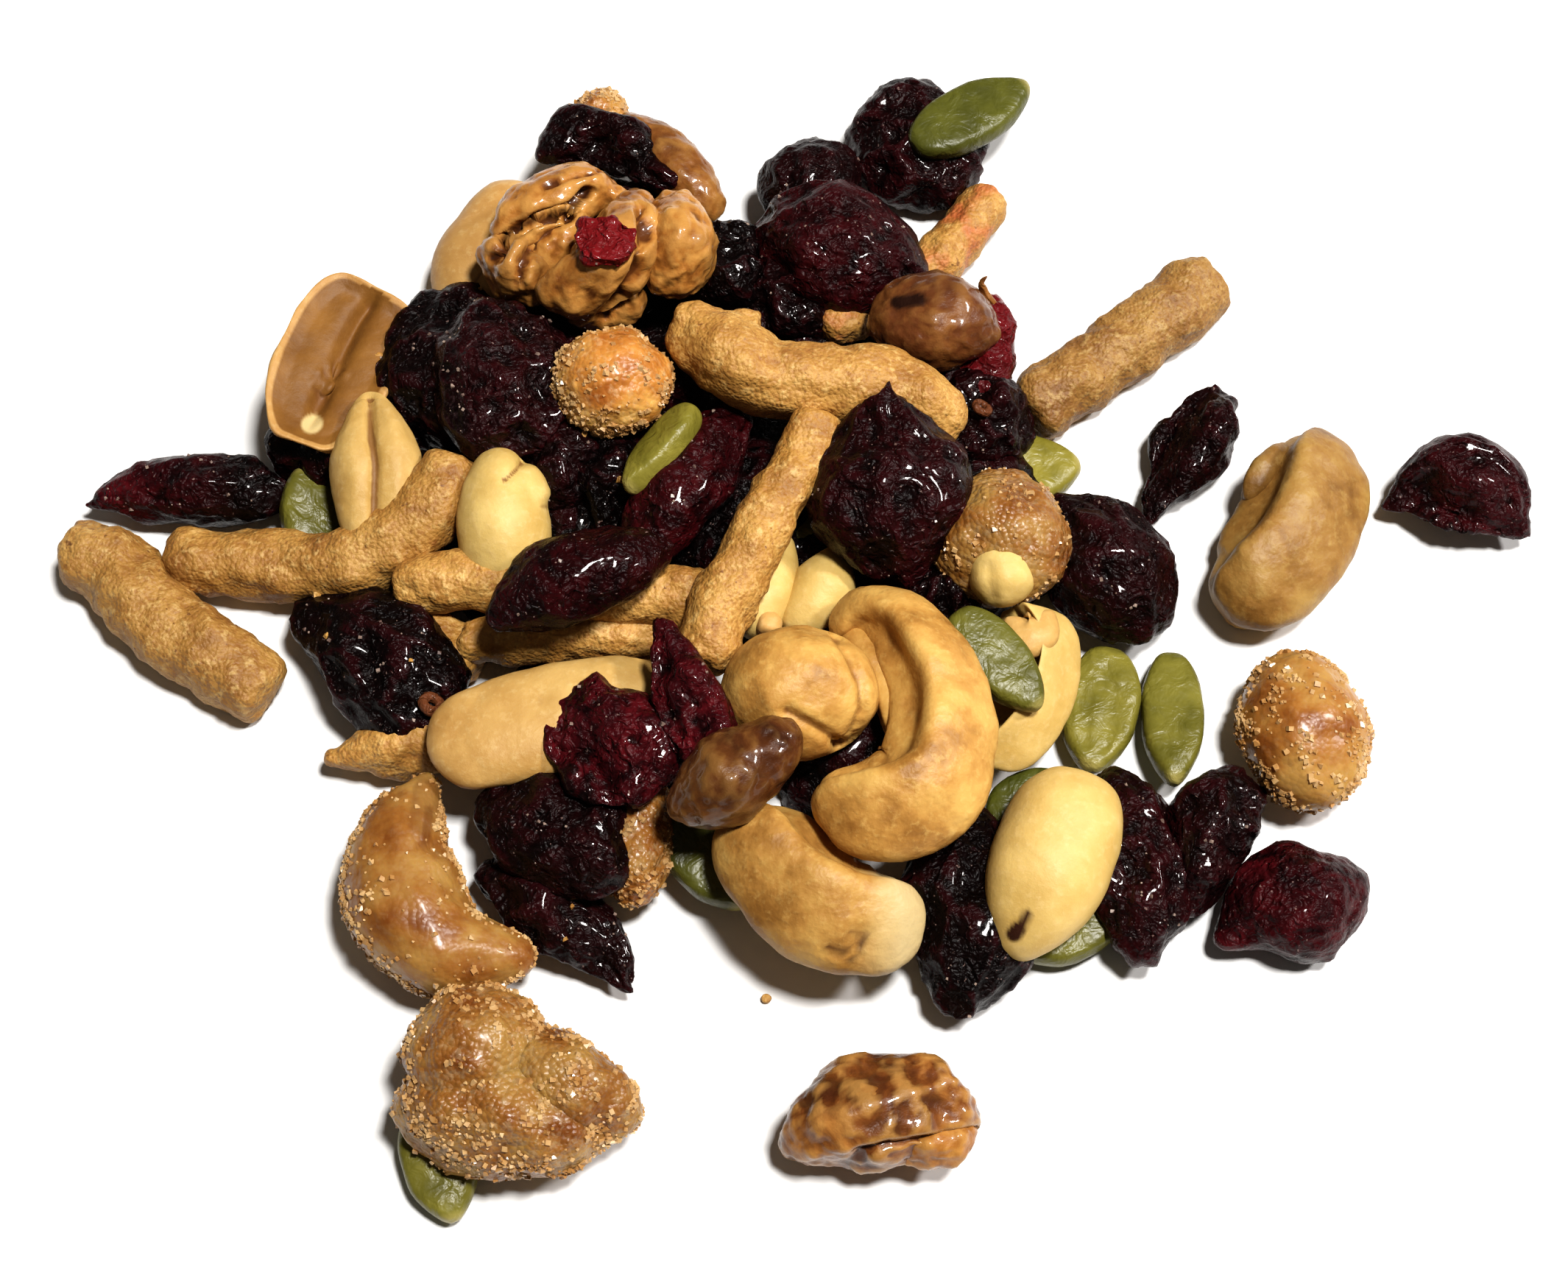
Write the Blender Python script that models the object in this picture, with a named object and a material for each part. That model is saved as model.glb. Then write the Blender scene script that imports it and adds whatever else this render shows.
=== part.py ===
"""A heap of trail mix, lying loose on a table, and the pieces that lie just beside it.

Sesame sticks, cashews, peanuts, glazed and sugared nuts, dried berries and pumpkin seeds lie on
and across each other. Everything in the heap is fused to a low mound with a flat underside. Each
piece that lies clear of the heap is an object of its own, flattened a little where it touches down.

Sizes and places are written in millimetres and turned into metres when a mesh is made. The origin
is on the table, under the middle of the heap, and +Z is up.
"""
import math

import bmesh
import bpy
from mathutils import Matrix, Vector, noise

MM = 0.001

# The eye that looks down on the heap, in millimetres. A place is written as the spot of the table
# that it covers for this eye, with its own height, so a higher piece lies nearer to the eye.
EYE = Vector((-1.0, -125.5, 284.0))

# A shelled pumpkin seed is a flat almond of this thickness, in millimetres.
SEED_THICKNESS = 3.0

# The mound: its bumps overlap, and none reaches a gap through which the table shows. Their middles
# lie a little below the table, so that no ring of points lies in the cut.
MOUND_SIDES = 10
MOUND_RINGS = 6
MOUND_SINK = 0.6

# Below the table everything is cut away by a slab of this size, in millimetres.
SLAB_SIDE = 260.0
SLAB_DEPTH = 12.0

# Steps between two places of a route.
ROUTE_STEPS = 12


class Form:
    """How one kind of food is shaped around the line that runs through it."""

    def __init__(self, sides=8, rings=8, blunt=2.0, lump=0.0, lump_size=5.0, taper=0.0,
                 waist=0.0, flat=False, groove=0.0, cup=0.0, crease=0.0):
        self.sides = sides
        self.rings = rings
        self.blunt = blunt
        self.lump = lump
        self.lump_size = lump_size
        self.taper = taper
        self.waist = waist
        self.flat = flat
        self.groove = groove
        self.cup = cup
        self.crease = crease


STICK = Form(sides=7, rings=8, blunt=3.4, lump=0.35, lump_size=4.0)
CASHEW = Form(sides=8, rings=10, blunt=2.5, lump=0.3, lump_size=7.0)
PEANUT = Form(sides=8, rings=7, blunt=2.3, waist=0.05, taper=0.06)
HALF_PEANUT = Form(sides=8, rings=8, blunt=2.5, taper=0.06, flat=True, groove=0.7)
SEED = Form(sides=6, rings=6, blunt=2.0, taper=0.22)
BERRY = Form(sides=7, rings=7, blunt=2.3, lump=1.1, lump_size=4.5, cup=0.12)
POINTED = Form(sides=9, rings=8, blunt=1.9, lump=1.1, lump_size=4.5, cup=0.1, taper=-0.3)
SHEET = Form(sides=8, rings=7, blunt=2.6, lump=1.2, lump_size=5.0, cup=0.35)
GLAZED = Form(sides=8, rings=7, blunt=2.2, lump=0.7, lump_size=4.0)
SUGARED = Form(sides=8, rings=7, blunt=2.3, lump=0.8, lump_size=4.0)
SUGARED_LARGE = Form(sides=10, rings=9, blunt=2.2, lump=1.8, lump_size=7.0, taper=0.15)
WALNUT = Form(sides=11, rings=9, blunt=2.4, lump=2.2, lump_size=6.0, crease=1.6)
CHIP = Form(sides=6, rings=4, blunt=2.4, lump=0.4, lump_size=2.5)


def seen(x, y, z):
    """The place at height z that covers the spot (x, y) of the table for the eye."""
    spot = Vector((x, y, 0.0))
    return spot + (EYE - spot) * (z / EYE.z)


def smooth_route(places):
    """Points along one smooth line through the places, with rounded bends."""
    if len(places) == 2:
        return [places[0].lerp(places[1], i / ROUTE_STEPS) for i in range(ROUTE_STEPS + 1)]
    ends = [2 * places[0] - places[1]] + places + [2 * places[-1] - places[-2]]
    points = []
    for before, start, stop, after in zip(ends, ends[1:], ends[2:], ends[3:]):
        for i in range(ROUTE_STEPS):
            u = i / ROUTE_STEPS
            points.append(0.5 * (2 * start + (stop - before) * u
                                 + (2 * before - 5 * start + 4 * stop - after) * u ** 2
                                 + (3 * start - before - 3 * stop + after) * u ** 3))
    points.append(places[-1])
    return points


def on_route(points, share):
    """The point at this share of the line's length, and the direction of the line there."""
    spans = [(b - a).length for a, b in zip(points, points[1:])]
    left = share * sum(spans)
    for i, span in enumerate(spans):
        if left <= span or i == len(spans) - 1:
            way = points[i + 1] - points[i]
            return points[i] + way * min(left / span, 1.0), way.normalized()
        left -= span


def section_offset(form, t, angle, width, thick):
    """How far the skin lies to the side of the line and above it, at t from -1 to 1 along it."""
    girth = 1.0 - form.taper * t - form.waist * math.exp(-(t / 0.35) ** 2)
    side = math.cos(angle) * width / 2 * girth
    rise = math.sin(angle) * thick / 2 * girth
    across = 2 * side / width
    if form.flat and rise > 0:
        rise = -form.groove * math.exp(-(across / 0.3) ** 2)
    if form.crease and rise > 0:
        rise -= form.crease * math.exp(-(across / 0.25) ** 2)
    rise += form.cup * thick * (across ** 2 - 0.5)
    return side, rise


def shape(name, form, places, width, thick, roll=0.0, seed=0):
    """One piece of food around a smooth line through the places, as a new object."""
    points = smooth_route([seen(*place) for place in places])
    length = sum((b - a).length for a, b in zip(points, points[1:]))
    shift = Vector((seed * 3.7, seed * 1.9, seed * 2.3))
    mesh = bmesh.new()
    bmesh.ops.create_uvsphere(mesh, u_segments=form.sides, v_segments=form.rings, radius=1.0)
    for vert in mesh.verts:
        reach = max(-1.0, min(1.0, vert.co.z))
        angle = math.atan2(vert.co.y, vert.co.x)
        t = math.copysign(abs(reach) ** (2 / form.blunt), reach)
        girth = math.hypot(vert.co.x, vert.co.y) ** (2 / form.blunt)
        centre, way = on_route(points, (t + 1) / 2)
        side = way.cross(Vector((0, 0, 1))).normalized()
        up = side.cross(way)
        turn = Matrix.Rotation(math.radians(roll), 3, way)
        across, rise = section_offset(form, t, angle, width, thick)
        skin = turn @ (side * across * girth + up * rise * girth)
        bump = form.lump * noise.noise((centre + skin) / form.lump_size + shift)
        outward = skin.normalized() if skin.length > 0.01 * length else way * reach
        vert.co = (centre + skin + outward * bump) * MM
    # The ball's axes became side, up and way, which mirrors it, so its faces are turned back out.
    bmesh.ops.reverse_faces(mesh, faces=mesh.faces)
    bmesh.ops.triangulate(mesh, faces=mesh.faces)
    return new_object(name, mesh)


def new_object(name, mesh):
    data = bpy.data.meshes.new(name)
    mesh.to_mesh(data)
    mesh.free()
    obj = bpy.data.objects.new(name, data)
    bpy.context.scene.collection.objects.link(obj)
    return obj


def food_material(name, colour, roughness):
    material = bpy.data.materials.new(name)
    material.use_nodes = True
    shader = material.node_tree.nodes["Principled BSDF"]
    shader.inputs["Base Color"].default_value = (*colour, 1.0)
    shader.inputs["Roughness"].default_value = roughness
    shader.inputs["Metallic"].default_value = 0.0
    return material


def sticks():
    """Sesame sticks, bent as they baked."""
    return [
        shape("stick_left_long", STICK, [(-64.5, 10.5, 3.6), (-55, 9.3, 3.8), (-46, 9.5, 6),
                                         (-40, 13.5, 8.5), (-34.5, 21.5, 10)], 7.2, 7.0, seed=1),
        shape("stick_top", STICK, [(-12.6, 38.4, 15), (-7.8, 34.4, 15), (-2.7, 31.4, 14.5),
                                   (4, 31, 14), (9.8, 30.2, 13), (14.4, 27.8, 12),
                                   (17.4, 24.8, 11)], 8.0, 7.6, seed=2),
        shape("stick_upright", STICK, [(2.8, 26.8, 14), (0.8, 21.3, 14), (-3, 14.9, 14),
                                       (-5.6, 8.4, 13), (-8.2, 2.3, 12), (-9.4, -2.8, 11)],
              6.8, 6.6, seed=3),
        shape("stick_across", STICK, [(-41.2, 7, 7.5), (-34.5, 7.3, 8.5), (-20, 6.6, 9.5),
                                      (-7.6, 5, 9)], 6.2, 6.0, seed=4),
        shape("stick_under", STICK, [(-34, 0.8, 6.5), (-23.5, 1.4, 6.5), (-11, 1.5, 6)],
              5.2, 5.4, seed=5),
        shape("stick_shadowed", STICK, [(-40, 3.3, 4), (-32, -2, 4)], 6.0, 6.0, seed=6),
        shape("stick_pointed", STICK, [(-46.8, -12.8, 3.4), (-31, -9.6, 4)], 6.2, 6.4, seed=7),
        shape("stick_reddish", STICK, [(21.8, 53.9, 3.6), (17, 47.4, 4), (11, 42, 5),
                                       (3.2, 36.8, 7)], 6.4, 6.4, seed=8),
        shape("stick_behind", STICK, [(3.6, 28, 8), (9, 21, 8)], 5.5, 5.5, seed=9),
    ]


def cashews():
    """Whole roasted cashews, bent to a hook."""
    return [
        shape("cashew_round", CASHEW, [(-7.8, -6, 11), (-3, -4.4, 13.5), (3.2, -4.6, 13.5),
                                       (8, -8.2, 11)], 12.6, 12.6, seed=11),
        shape("cashew_hook", CASHEW, [(3.4, -0.5, 10), (6.2, 3.8, 11), (11.2, 3, 13),
                                      (15.2, -4, 14), (15.4, -12, 14), (10.8, -17.6, 13),
                                      (1.8, -16.4, 12)], 9.8, 9.6, seed=12),
        shape("cashew_front", CASHEW, [(-6, -18, 11), (-3, -24, 10.5), (2.7, -28.9, 10),
                                       (12.6, -29.8, 8)], 11.2, 10.8, seed=13),
        shape("sugared_cashew", SUGARED, [(-37.8, -13.2, 7), (-39, -20, 6.4), (-38, -26, 6),
                                          (-33.6, -31, 6), (-24.6, -33, 6)],
              12.6, 11.6, seed=14),
    ]


def peanuts():
    """Peanuts, whole and split into their halves."""
    return [
        shape("peanut_whole_right", PEANUT, [(30, -13.4, 8), (21.4, -33.4, 7)],
              12.4, 11.6, seed=21),
        shape("peanut_whole_upright", PEANUT, [(-31, 23, 12), (-29, 8.6, 7)],
              9.2, 9.2, seed=22),
        shape("half_peanut_upper_left", HALF_PEANUT, [(-43.6, 43.2, 7.5), (-52, 22, 9)],
              13.2, 11.0, roll=-8, seed=23),
        shape("half_peanut_left", HALF_PEANUT, [(-44.8, 29.6, 11), (-42.4, 12, 8)],
              8.4, 11.0, roll=-25, seed=24),
        shape("half_peanut_middle", HALF_PEANUT, [(-36, -11.6, 9.5), (-25, -7.9, 10),
                                                 (-14, -3, 9.5)], 11.0, 10.0, seed=25),
        shape("half_peanut_edge", HALF_PEANUT, [(25, 4.6, 8), (26.6, -1.8, 6.5), (24.6, -8, 6),
                                                (19.2, -14, 5)], 6.8, 10.0, roll=60, seed=26),
        shape("half_peanut_back", PEANUT, [(-27, 53.6, 5), (-36.6, 38.4, 4.5)],
              12.6, 10.0, seed=27),
        shape("split_peanut_left", PEANUT, [(-4, 0.5, 7), (0, 13, 8)], 5.6, 6.5, seed=28),
        shape("split_peanut_right", PEANUT, [(0.2, 0.5, 7), (6.2, 11.5, 8)], 6.4, 6.5, seed=29),
    ]


def glazed_nuts():
    """Walnuts and small nuts in a brown glaze, and nuts in a sugar crust."""
    return [
        shape("walnut_top", WALNUT, [(-34.8, 45, 13), (-23, 47.6, 14), (-11.2, 48.6, 13)],
              18.6, 15.0, seed=31),
        shape("nut_back_long", GLAZED, [(-20, 63.4, 7), (-14, 58.6, 7.5), (-8.4, 51, 7)],
              6.8, 6.6, seed=32),
        shape("nut_mottled", GLAZED, [(7.8, 37.8, 11), (22.4, 38.2, 10.5)], 10.2, 9.4, seed=33),
        shape("nut_rough", GLAZED, [(19.6, 19.6, 10), (21.4, 4.6, 9)], 13.0, 11.0, seed=34),
        shape("nut_front", GLAZED, [(-12.8, -18.2, 15.5), (1.4, -9.8, 17.5)], 8.8, 8.6, seed=35),
        shape("sugar_lump_back", SUGARED, [(-25, 62, 5.5), (-17.2, 62.4, 5.5)], 9, 9, seed=36),
        shape("sugared_nut_middle", SUGARED, [(-25.8, 30.8, 14), (-12.6, 31.4, 14)],
              11.8, 11.0, seed=37),
        shape("sugared_nut_low", SUGARED, [(-14.6, -13.5, 6), (-16, -28, 5.5)],
              7.5, 8.0, seed=38),
        shape("sugared_nut_front", SUGARED_LARGE, [(-37.4, -45.4, 7), (-26, -43.8, 7.4),
                                                   (-14.8, -48, 6.6)], 17, 14.5, seed=101),
        shape("nut_chip", CHIP, [(21.6, 2.4, 9.6), (26.4, 4.8, 9.6)], 4.4, 3.6, seed=39),
    ]


def berries():
    """Dried cranberries and a few darker berries, wrinkled and folded."""
    return [
        shape("berry_left_end", BERRY, [(-73.6, 17, 3.4), (-51.8, 17.4, 3.8)], 7.6, 7.2, seed=41),
        shape("berry_under_half", BERRY, [(-55, 24, 3.6), (-42, 20.5, 4)], 8.5, 7.5, seed=42),
        shape("berry_dark_left", BERRY, [(-34.6, 42.6, 6.5), (-39.4, 23, 7)], 12.5, 10, seed=43),
        shape("berry_dusty", BERRY, [(-32.6, 40.2, 12), (-29, 21.2, 11)], 13.4, 9.5, seed=44),
        shape("berry_crumbed", BERRY, [(-26, 27, 9), (-22.8, 15, 8)], 8, 8, seed=45),
        shape("berry_curled_back", SHEET, [(-28.2, 59.8, 9), (-15.6, 57, 9)], 8, 4.5,
              seed=46),
        shape("berry_bluish_back", BERRY, [(-8, 50.4, 7.5), (-6.6, 39, 7.5)], 8, 8, seed=47),
        shape("berry_back_small", BERRY, [(-4.5, 47.2, 5.5), (1.5, 36, 7)], 8, 7.5, seed=48),
        shape("berry_back_round", BERRY, [(-3.6, 54, 6.5), (7.4, 56, 6)], 9.8, 9, seed=49),
        shape("berry_back_large", BERRY, [(-3, 49.6, 8.5), (13.4, 43.2, 8.5)], 13.8, 10, seed=50),
        shape("berry_red_edged", SHEET, [(19.8, 41.6, 7), (19.2, 27.6, 8)], 7.4, 5.5, seed=51),
        shape("berry_scarred", BERRY, [(15.8, 32, 6), (22.2, 20.6, 5)], 9.4, 8, seed=52),
        shape("berry_long_dark", BERRY, [(-5.6, 28, 10), (-16.4, 10.6, 11)], 8.8, 7.5, seed=53),
        shape("berry_raisin", BERRY, [(-20.2, 26, 8), (-19.2, 12, 8)], 7, 7.5, seed=54),
        shape("berry_large_pointed", POINTED, [(10.4, 32.4, 18), (10, 22, 14), (9.8, 7, 10)],
              15.5, 10, seed=55),
        shape("berry_glossy_top", BERRY, [(-31, 3.8, 14.5), (-12.2, 12.2, 15)],
              8.8, 7.5, seed=56),
        shape("berry_ringed", BERRY, [(-52, 3.8, 4.6), (-35.4, -7.4, 4.6)], 11.2, 9, seed=57),
        shape("berry_right_large", BERRY, [(25.4, 16.6, 6), (36.6, 0.8, 5.5)], 12.4, 11, seed=58),
        shape("berry_black_small", BERRY, [(11.2, 7.4, 7), (18.4, 2.4, 7)], 6.5, 6.5, seed=59),
        shape("berry_red_sheet", SHEET, [(-23.4, -5, 12), (-14, -16.2, 12)], 11.5, 5, seed=60),
        shape("berry_red_point", SHEET, [(-13.4, 2, 15), (-7.6, -13.8, 14)], 7.8, 5.5, seed=61),
        shape("berry_dark_shelf", BERRY, [(-31, -15.8, 6), (-15.8, -24.4, 8)], 10.6, 9, seed=62),
        shape("berry_pointed_low", BERRY, [(-31.6, -23, 4), (-16, -35.8, 3)], 8.5, 7, seed=63),
        shape("berry_flat_front", BERRY, [(17.6, -17.6, 5), (14.8, -39.8, 4)], 14, 8, seed=64),
        shape("berry_right_low", BERRY, [(31.4, -12.2, 4.6), (35, -33.6, 4.4)], 12, 9, seed=65),
        shape("berry_right_twin", BERRY, [(44, -14, 4.6), (37.2, -27.2, 4.4)],
              8.4, 8.6, seed=66),
        shape("berry_right_bridge", BERRY, [(32.4, -14, 4.4), (43.4, -16.4, 4.4)], 6.4, 6.4,
              seed=86),
        shape("berry_bit_red", CHIP, [(-23.6, 48.2, 21), (-17.2, 48.6, 21)], 5.6, 3.4, seed=67),
        shape("berry_under_sugared", BERRY, [(-25, 25, 7), (-11, 26, 7)], 8, 7.5, seed=68),
        shape("berry_under_stick", BERRY, [(-14, 31.6, 8), (-3, 28.6, 7)], 8, 7.5, seed=69),
    ]


def seeds():
    """Shelled pumpkin seeds in the heap."""
    return [
        shape("seed_left", SEED, [(-47.2, 8, 2.5), (-51.6, 20.6, 5)], 7.4, SEED_THICKNESS,
              roll=15, seed=71),
        shape("seed_middle", SEED, [(-17.4, 18, 13.5), (-10.4, 27.8, 13.5)], 5.4,
              SEED_THICKNESS, roll=-35, seed=72),
        shape("seed_right_back", SEED, [(17, 19.4, 3), (30, 20.8, 2.5)], 8.2,
              SEED_THICKNESS, seed=73),
        shape("seed_right_flat", SEED, [(32.2, -0.2, 2.6), (29.6, -13.6, 3.5)], 7.8,
              SEED_THICKNESS, seed=74),
        shape("seed_right_end", SEED, [(38.3, -0.8, 1.6), (38, -15, 4)], 6.3,
              SEED_THICKNESS, seed=75),
        shape("seed_top_right", SEED, [(16.6, 4, 12.5), (24.8, -6.8, 11)], 6.4,
              SEED_THICKNESS, seed=76),
        shape("seed_low_front", SEED, [(-12.4, -18.6, 5.5), (-5, -27.8, 4.5)], 6.4,
              SEED_THICKNESS, seed=77),
        shape("seed_under_peanut", SEED, [(32.4, -26.6, 3), (22, -32.8, 2.5)], 7,
              SEED_THICKNESS, seed=78),
        shape("seed_dark", SEED, [(19.6, -19.4, 3.5), (26.6, -14, 3.5)], 6,
              SEED_THICKNESS, seed=79),
        shape("seed_front", SEED, [(-35.4, -47.4, 3), (-32, -59, 1.8)], 7.2,
              SEED_THICKNESS, seed=102),
        shape("seed_hidden", SEED, [(-1.4, 12, 6), (4, 19, 6)], 6, SEED_THICKNESS, seed=80),
    ]


def stick_far_left():
    return [shape("stick_far_left", STICK, [(-75.2, 11.2, 3.3), (-70.2, 9.2, 3.3),
                                            (-65.8, 3.8, 3.3), (-59.8, -0.4, 3.3),
                                            (-52.8, -5.6, 3.3)], 8.0, 7.6, seed=91)]


def stick_upper_right():
    return [shape("stick_upper_right", STICK, [(24.4, 26.8, 3.3), (34, 34.4, 3.2),
                                               (45.6, 43.6, 3.1)], 7.8, 7.2, seed=92)]


def berry_top_right():
    """A cranberry with a pumpkin seed lying across it."""
    return [
        shape("berry_top_right", BERRY, [(7, 64.6, 4), (20.4, 56.2, 4)], 13.6, 8.4, seed=93),
        shape("seed_on_berry", SEED, [(13.2, 60.2, 8.4), (26, 68.2, 7.4)], 7.2,
              SEED_THICKNESS, seed=94),
    ]


def berry_right():
    return [shape("berry_right", BERRY, [(45.6, 29, 3.4), (36.2, 14.4, 3.4)], 7.4, 7, seed=95)]


def cashew_right():
    return [shape("cashew_right", CASHEW, [(55.4, 25.4, 5), (55.2, 18, 5), (52.4, 11.8, 5),
                                           (48.6, 7.8, 5), (42.4, 6, 5)], 11.4, 10.4, seed=96)]


def berry_far_right():
    return [shape("berry_far_right", SHEET, [(60.8, 16, 3), (68.2, 19.6, 4.4),
                                             (75.6, 12, 3)], 8.4, 6.2, seed=97)]


def sugared_peanut_right():
    return [shape("sugared_peanut_right", SUGARED, [(50.8, -0.6, 5.2), (52, -17.6, 5.2)],
                  12.2, 11, seed=98)]


def berry_lower_right():
    return [shape("berry_lower_right", BERRY, [(42.1, -31.3, 3.6), (56.2, -25.9, 3.8)],
                  12.4, 8.2, seed=99)]


def walnut_front():
    return [shape("walnut_front", WALNUT, [(-1.2, -51.4, 5.6), (8, -49.4, 5.8),
                                           (17.6, -46.6, 5.6)], 11.4, 11.6, seed=100)]


def loose_pieces():
    """The pieces that lie clear of the heap, each first in a list with what lies on it."""
    return [stick_far_left(), stick_upper_right(), berry_top_right(), berry_right(),
            cashew_right(), berry_far_right(), sugared_peanut_right(), berry_lower_right(),
            walnut_front()]


def mound_bump(name, x, y, reach_x, reach_y, height):
    """One low bump of the mound, its middle on the table."""
    mesh = bmesh.new()
    bmesh.ops.create_uvsphere(mesh, u_segments=MOUND_SIDES, v_segments=MOUND_RINGS, radius=1.0)
    size = Matrix.Diagonal((reach_x * MM, reach_y * MM, height * MM, 1.0))
    place = Matrix.Translation(Vector((x, y, -MOUND_SINK)) * MM)
    mesh.transform(place @ size)
    bmesh.ops.triangulate(mesh, faces=mesh.faces)
    return new_object(name, mesh)


def mound():
    """The bumps that carry the heap, hidden under it."""
    return [
        mound_bump("mound_back_left", -27, 30, 15, 11, 9),
        mound_bump("mound_back", -2, 36, 15, 8, 8),
        mound_bump("mound_far_back", -18, 46, 10, 9, 9),
        mound_bump("mound_back_middle", -10, 27, 10, 9, 8),
        mound_bump("mound_left", -22, 12, 17, 12, 9),
        mound_bump("mound_middle", -4, 14, 14, 13, 9),
        mound_bump("mound_right", 15, 13, 14, 12, 8),
        mound_bump("mound_centre", 2, -1, 8.5, 8, 8),
        mound_bump("mound_front", 7, -12, 10, 9, 8),
        mound_bump("mound_front_left", -20, -9, 10, 10, 7),
    ]


def heap_pieces():
    return mound() + sticks() + cashews() + peanuts() + glazed_nuts() + berries() + seeds()


def apply_boolean(obj, operation, solver, operand=None, collection=None):
    modifier = obj.modifiers.new("boolean", "BOOLEAN")
    modifier.operation = operation
    modifier.solver = solver
    if collection:
        modifier.operand_type = "COLLECTION"
        modifier.collection = collection
    else:
        modifier.object = operand
    graph = bpy.context.evaluated_depsgraph_get()
    data = bpy.data.meshes.new_from_object(obj.evaluated_get(graph))
    obj.modifiers.clear()
    obj.data = data


def slab_below_table():
    """A cutter whose top face is the table."""
    mesh = bmesh.new()
    bmesh.ops.create_cube(mesh, size=1.0)
    size = Matrix.Diagonal((SLAB_SIDE * MM, SLAB_SIDE * MM, SLAB_DEPTH * MM, 1.0))
    mesh.transform(Matrix.Translation((0, 0, -SLAB_DEPTH * MM / 2)) @ size)
    slab = new_object("slab", mesh)
    slab.hide_render = True
    slab.display_type = "WIRE"
    return slab


def shells(mesh):
    """The mesh's faces, grouped by the closed shell that they belong to."""
    left = set(mesh.faces)
    groups = []
    while left:
        group = []
        queue = [left.pop()]
        while queue:
            face = queue.pop()
            group.append(face)
            for edge in face.edges:
                for other in edge.link_faces:
                    if other in left:
                        left.remove(other)
                        queue.append(other)
        groups.append(group)
    return groups


def keep_outer_shell(obj):
    """Fills hollows that the fusing sealed, and drops loose scraps."""
    mesh = bmesh.new()
    mesh.from_mesh(obj.data)
    groups = sorted(shells(mesh), key=len)
    for group in groups[:-1]:
        bmesh.ops.delete(mesh, geom=group, context="FACES")
    bmesh.ops.triangulate(mesh, faces=mesh.faces)
    mesh.to_mesh(obj.data)
    mesh.free()


def fuse(pieces, name):
    """One object out of pieces that overlap; the pieces themselves are removed."""
    body = pieces[0]
    body.name = name
    others = bpy.data.collections.new("others")
    for piece in pieces[1:]:
        others.objects.link(piece)
    apply_boolean(body, "UNION", "EXACT", collection=others)
    for piece in pieces[1:]:
        bpy.data.objects.remove(piece)
    bpy.data.collections.remove(others)
    return body


def trail_mix_heap():
    """All pieces of the heap and its mound as one closed body with a flat underside."""
    heap = fuse(heap_pieces(), "trail_mix_heap")
    slab = slab_below_table()
    apply_boolean(heap, "DIFFERENCE", "EXACT", operand=slab)
    bpy.data.objects.remove(slab)
    keep_outer_shell(heap)
    return heap


def beside_heap(pieces):
    """A loose piece with what lies on it, flattened where it would reach below the table."""
    for piece in pieces:
        for vert in piece.data.vertices:
            vert.co.z = max(vert.co.z, 0.0)
    if len(pieces) == 1:
        return pieces[0]
    body = fuse(pieces, pieces[0].name)
    keep_outer_shell(body)
    return body


# Colour and roughness of each node, from its outermost food.
FINISHES = {
    "trail_mix_heap": ((0.26, 0.13, 0.05), 0.45),
    "stick_far_left": ((0.46, 0.23, 0.07), 0.75),
    "stick_upper_right": ((0.46, 0.23, 0.07), 0.75),
    "berry_top_right": ((0.05, 0.006, 0.010), 0.35),
    "berry_right": ((0.05, 0.006, 0.010), 0.35),
    "cashew_right": ((0.56, 0.31, 0.12), 0.50),
    "berry_far_right": ((0.07, 0.008, 0.012), 0.35),
    "sugared_peanut_right": ((0.55, 0.26, 0.06), 0.40),
    "berry_lower_right": ((0.09, 0.008, 0.014), 0.30),
    "walnut_front": ((0.30, 0.13, 0.04), 0.25),
}


def main():
    for obj in list(bpy.data.objects):
        bpy.data.objects.remove(obj)
    nodes = [trail_mix_heap()]
    nodes += [beside_heap(pieces) for pieces in loose_pieces()]
    for node in nodes:
        colour, roughness = FINISHES[node.name]
        node.data.materials.append(food_material(node.name, colour, roughness))


main()
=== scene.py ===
# %% [markdown]
# # A heap of trail mix
#
# On a white table lies a loose heap of trail mix: baked sesame sticks, cashews, peanuts, nuts in
# a sugar glaze, dried cranberries and pumpkin seeds. We model each kind once, by hand, then copy
# it, bend every copy along its own line and press relief into it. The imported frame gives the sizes.

# %% Load the frame
import math
import random

import bmesh
import bpy
import numpy as np
from mathutils import Matrix, Vector, noise


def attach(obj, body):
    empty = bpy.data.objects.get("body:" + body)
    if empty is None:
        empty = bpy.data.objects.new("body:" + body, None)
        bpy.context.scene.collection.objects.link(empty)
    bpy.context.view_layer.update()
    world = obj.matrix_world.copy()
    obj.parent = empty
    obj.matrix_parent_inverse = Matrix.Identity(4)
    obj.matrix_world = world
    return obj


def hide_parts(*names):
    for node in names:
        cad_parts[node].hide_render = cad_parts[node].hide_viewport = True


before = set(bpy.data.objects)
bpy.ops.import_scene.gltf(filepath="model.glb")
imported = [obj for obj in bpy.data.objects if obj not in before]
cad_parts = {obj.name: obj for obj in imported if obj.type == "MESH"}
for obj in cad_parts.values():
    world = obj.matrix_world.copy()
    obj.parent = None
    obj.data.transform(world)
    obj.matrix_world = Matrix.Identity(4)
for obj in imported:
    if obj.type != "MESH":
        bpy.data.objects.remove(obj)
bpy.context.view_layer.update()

bpy.ops.object.select_all(action="DESELECT")
MM = 0.001

# %% [markdown]
# ## Camera and light
#
# The heap is seen from 66 degrees above the table, through a lens of 70 mm. We could light it
# with a sun, but two small lamps, one above it and one on the right, give what such a table
# shows: two soft shadows that overlap to the left, and many small highlights on the shiny skins.
# A weak pale world fills the shade, and the table is a plain white sheet.

# %% Camera
ELEVATION = math.radians(66)
CAMERA_DISTANCE = 0.311
CAMERA_TARGET = Vector((-0.001, 0.001, 0.0))

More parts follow.
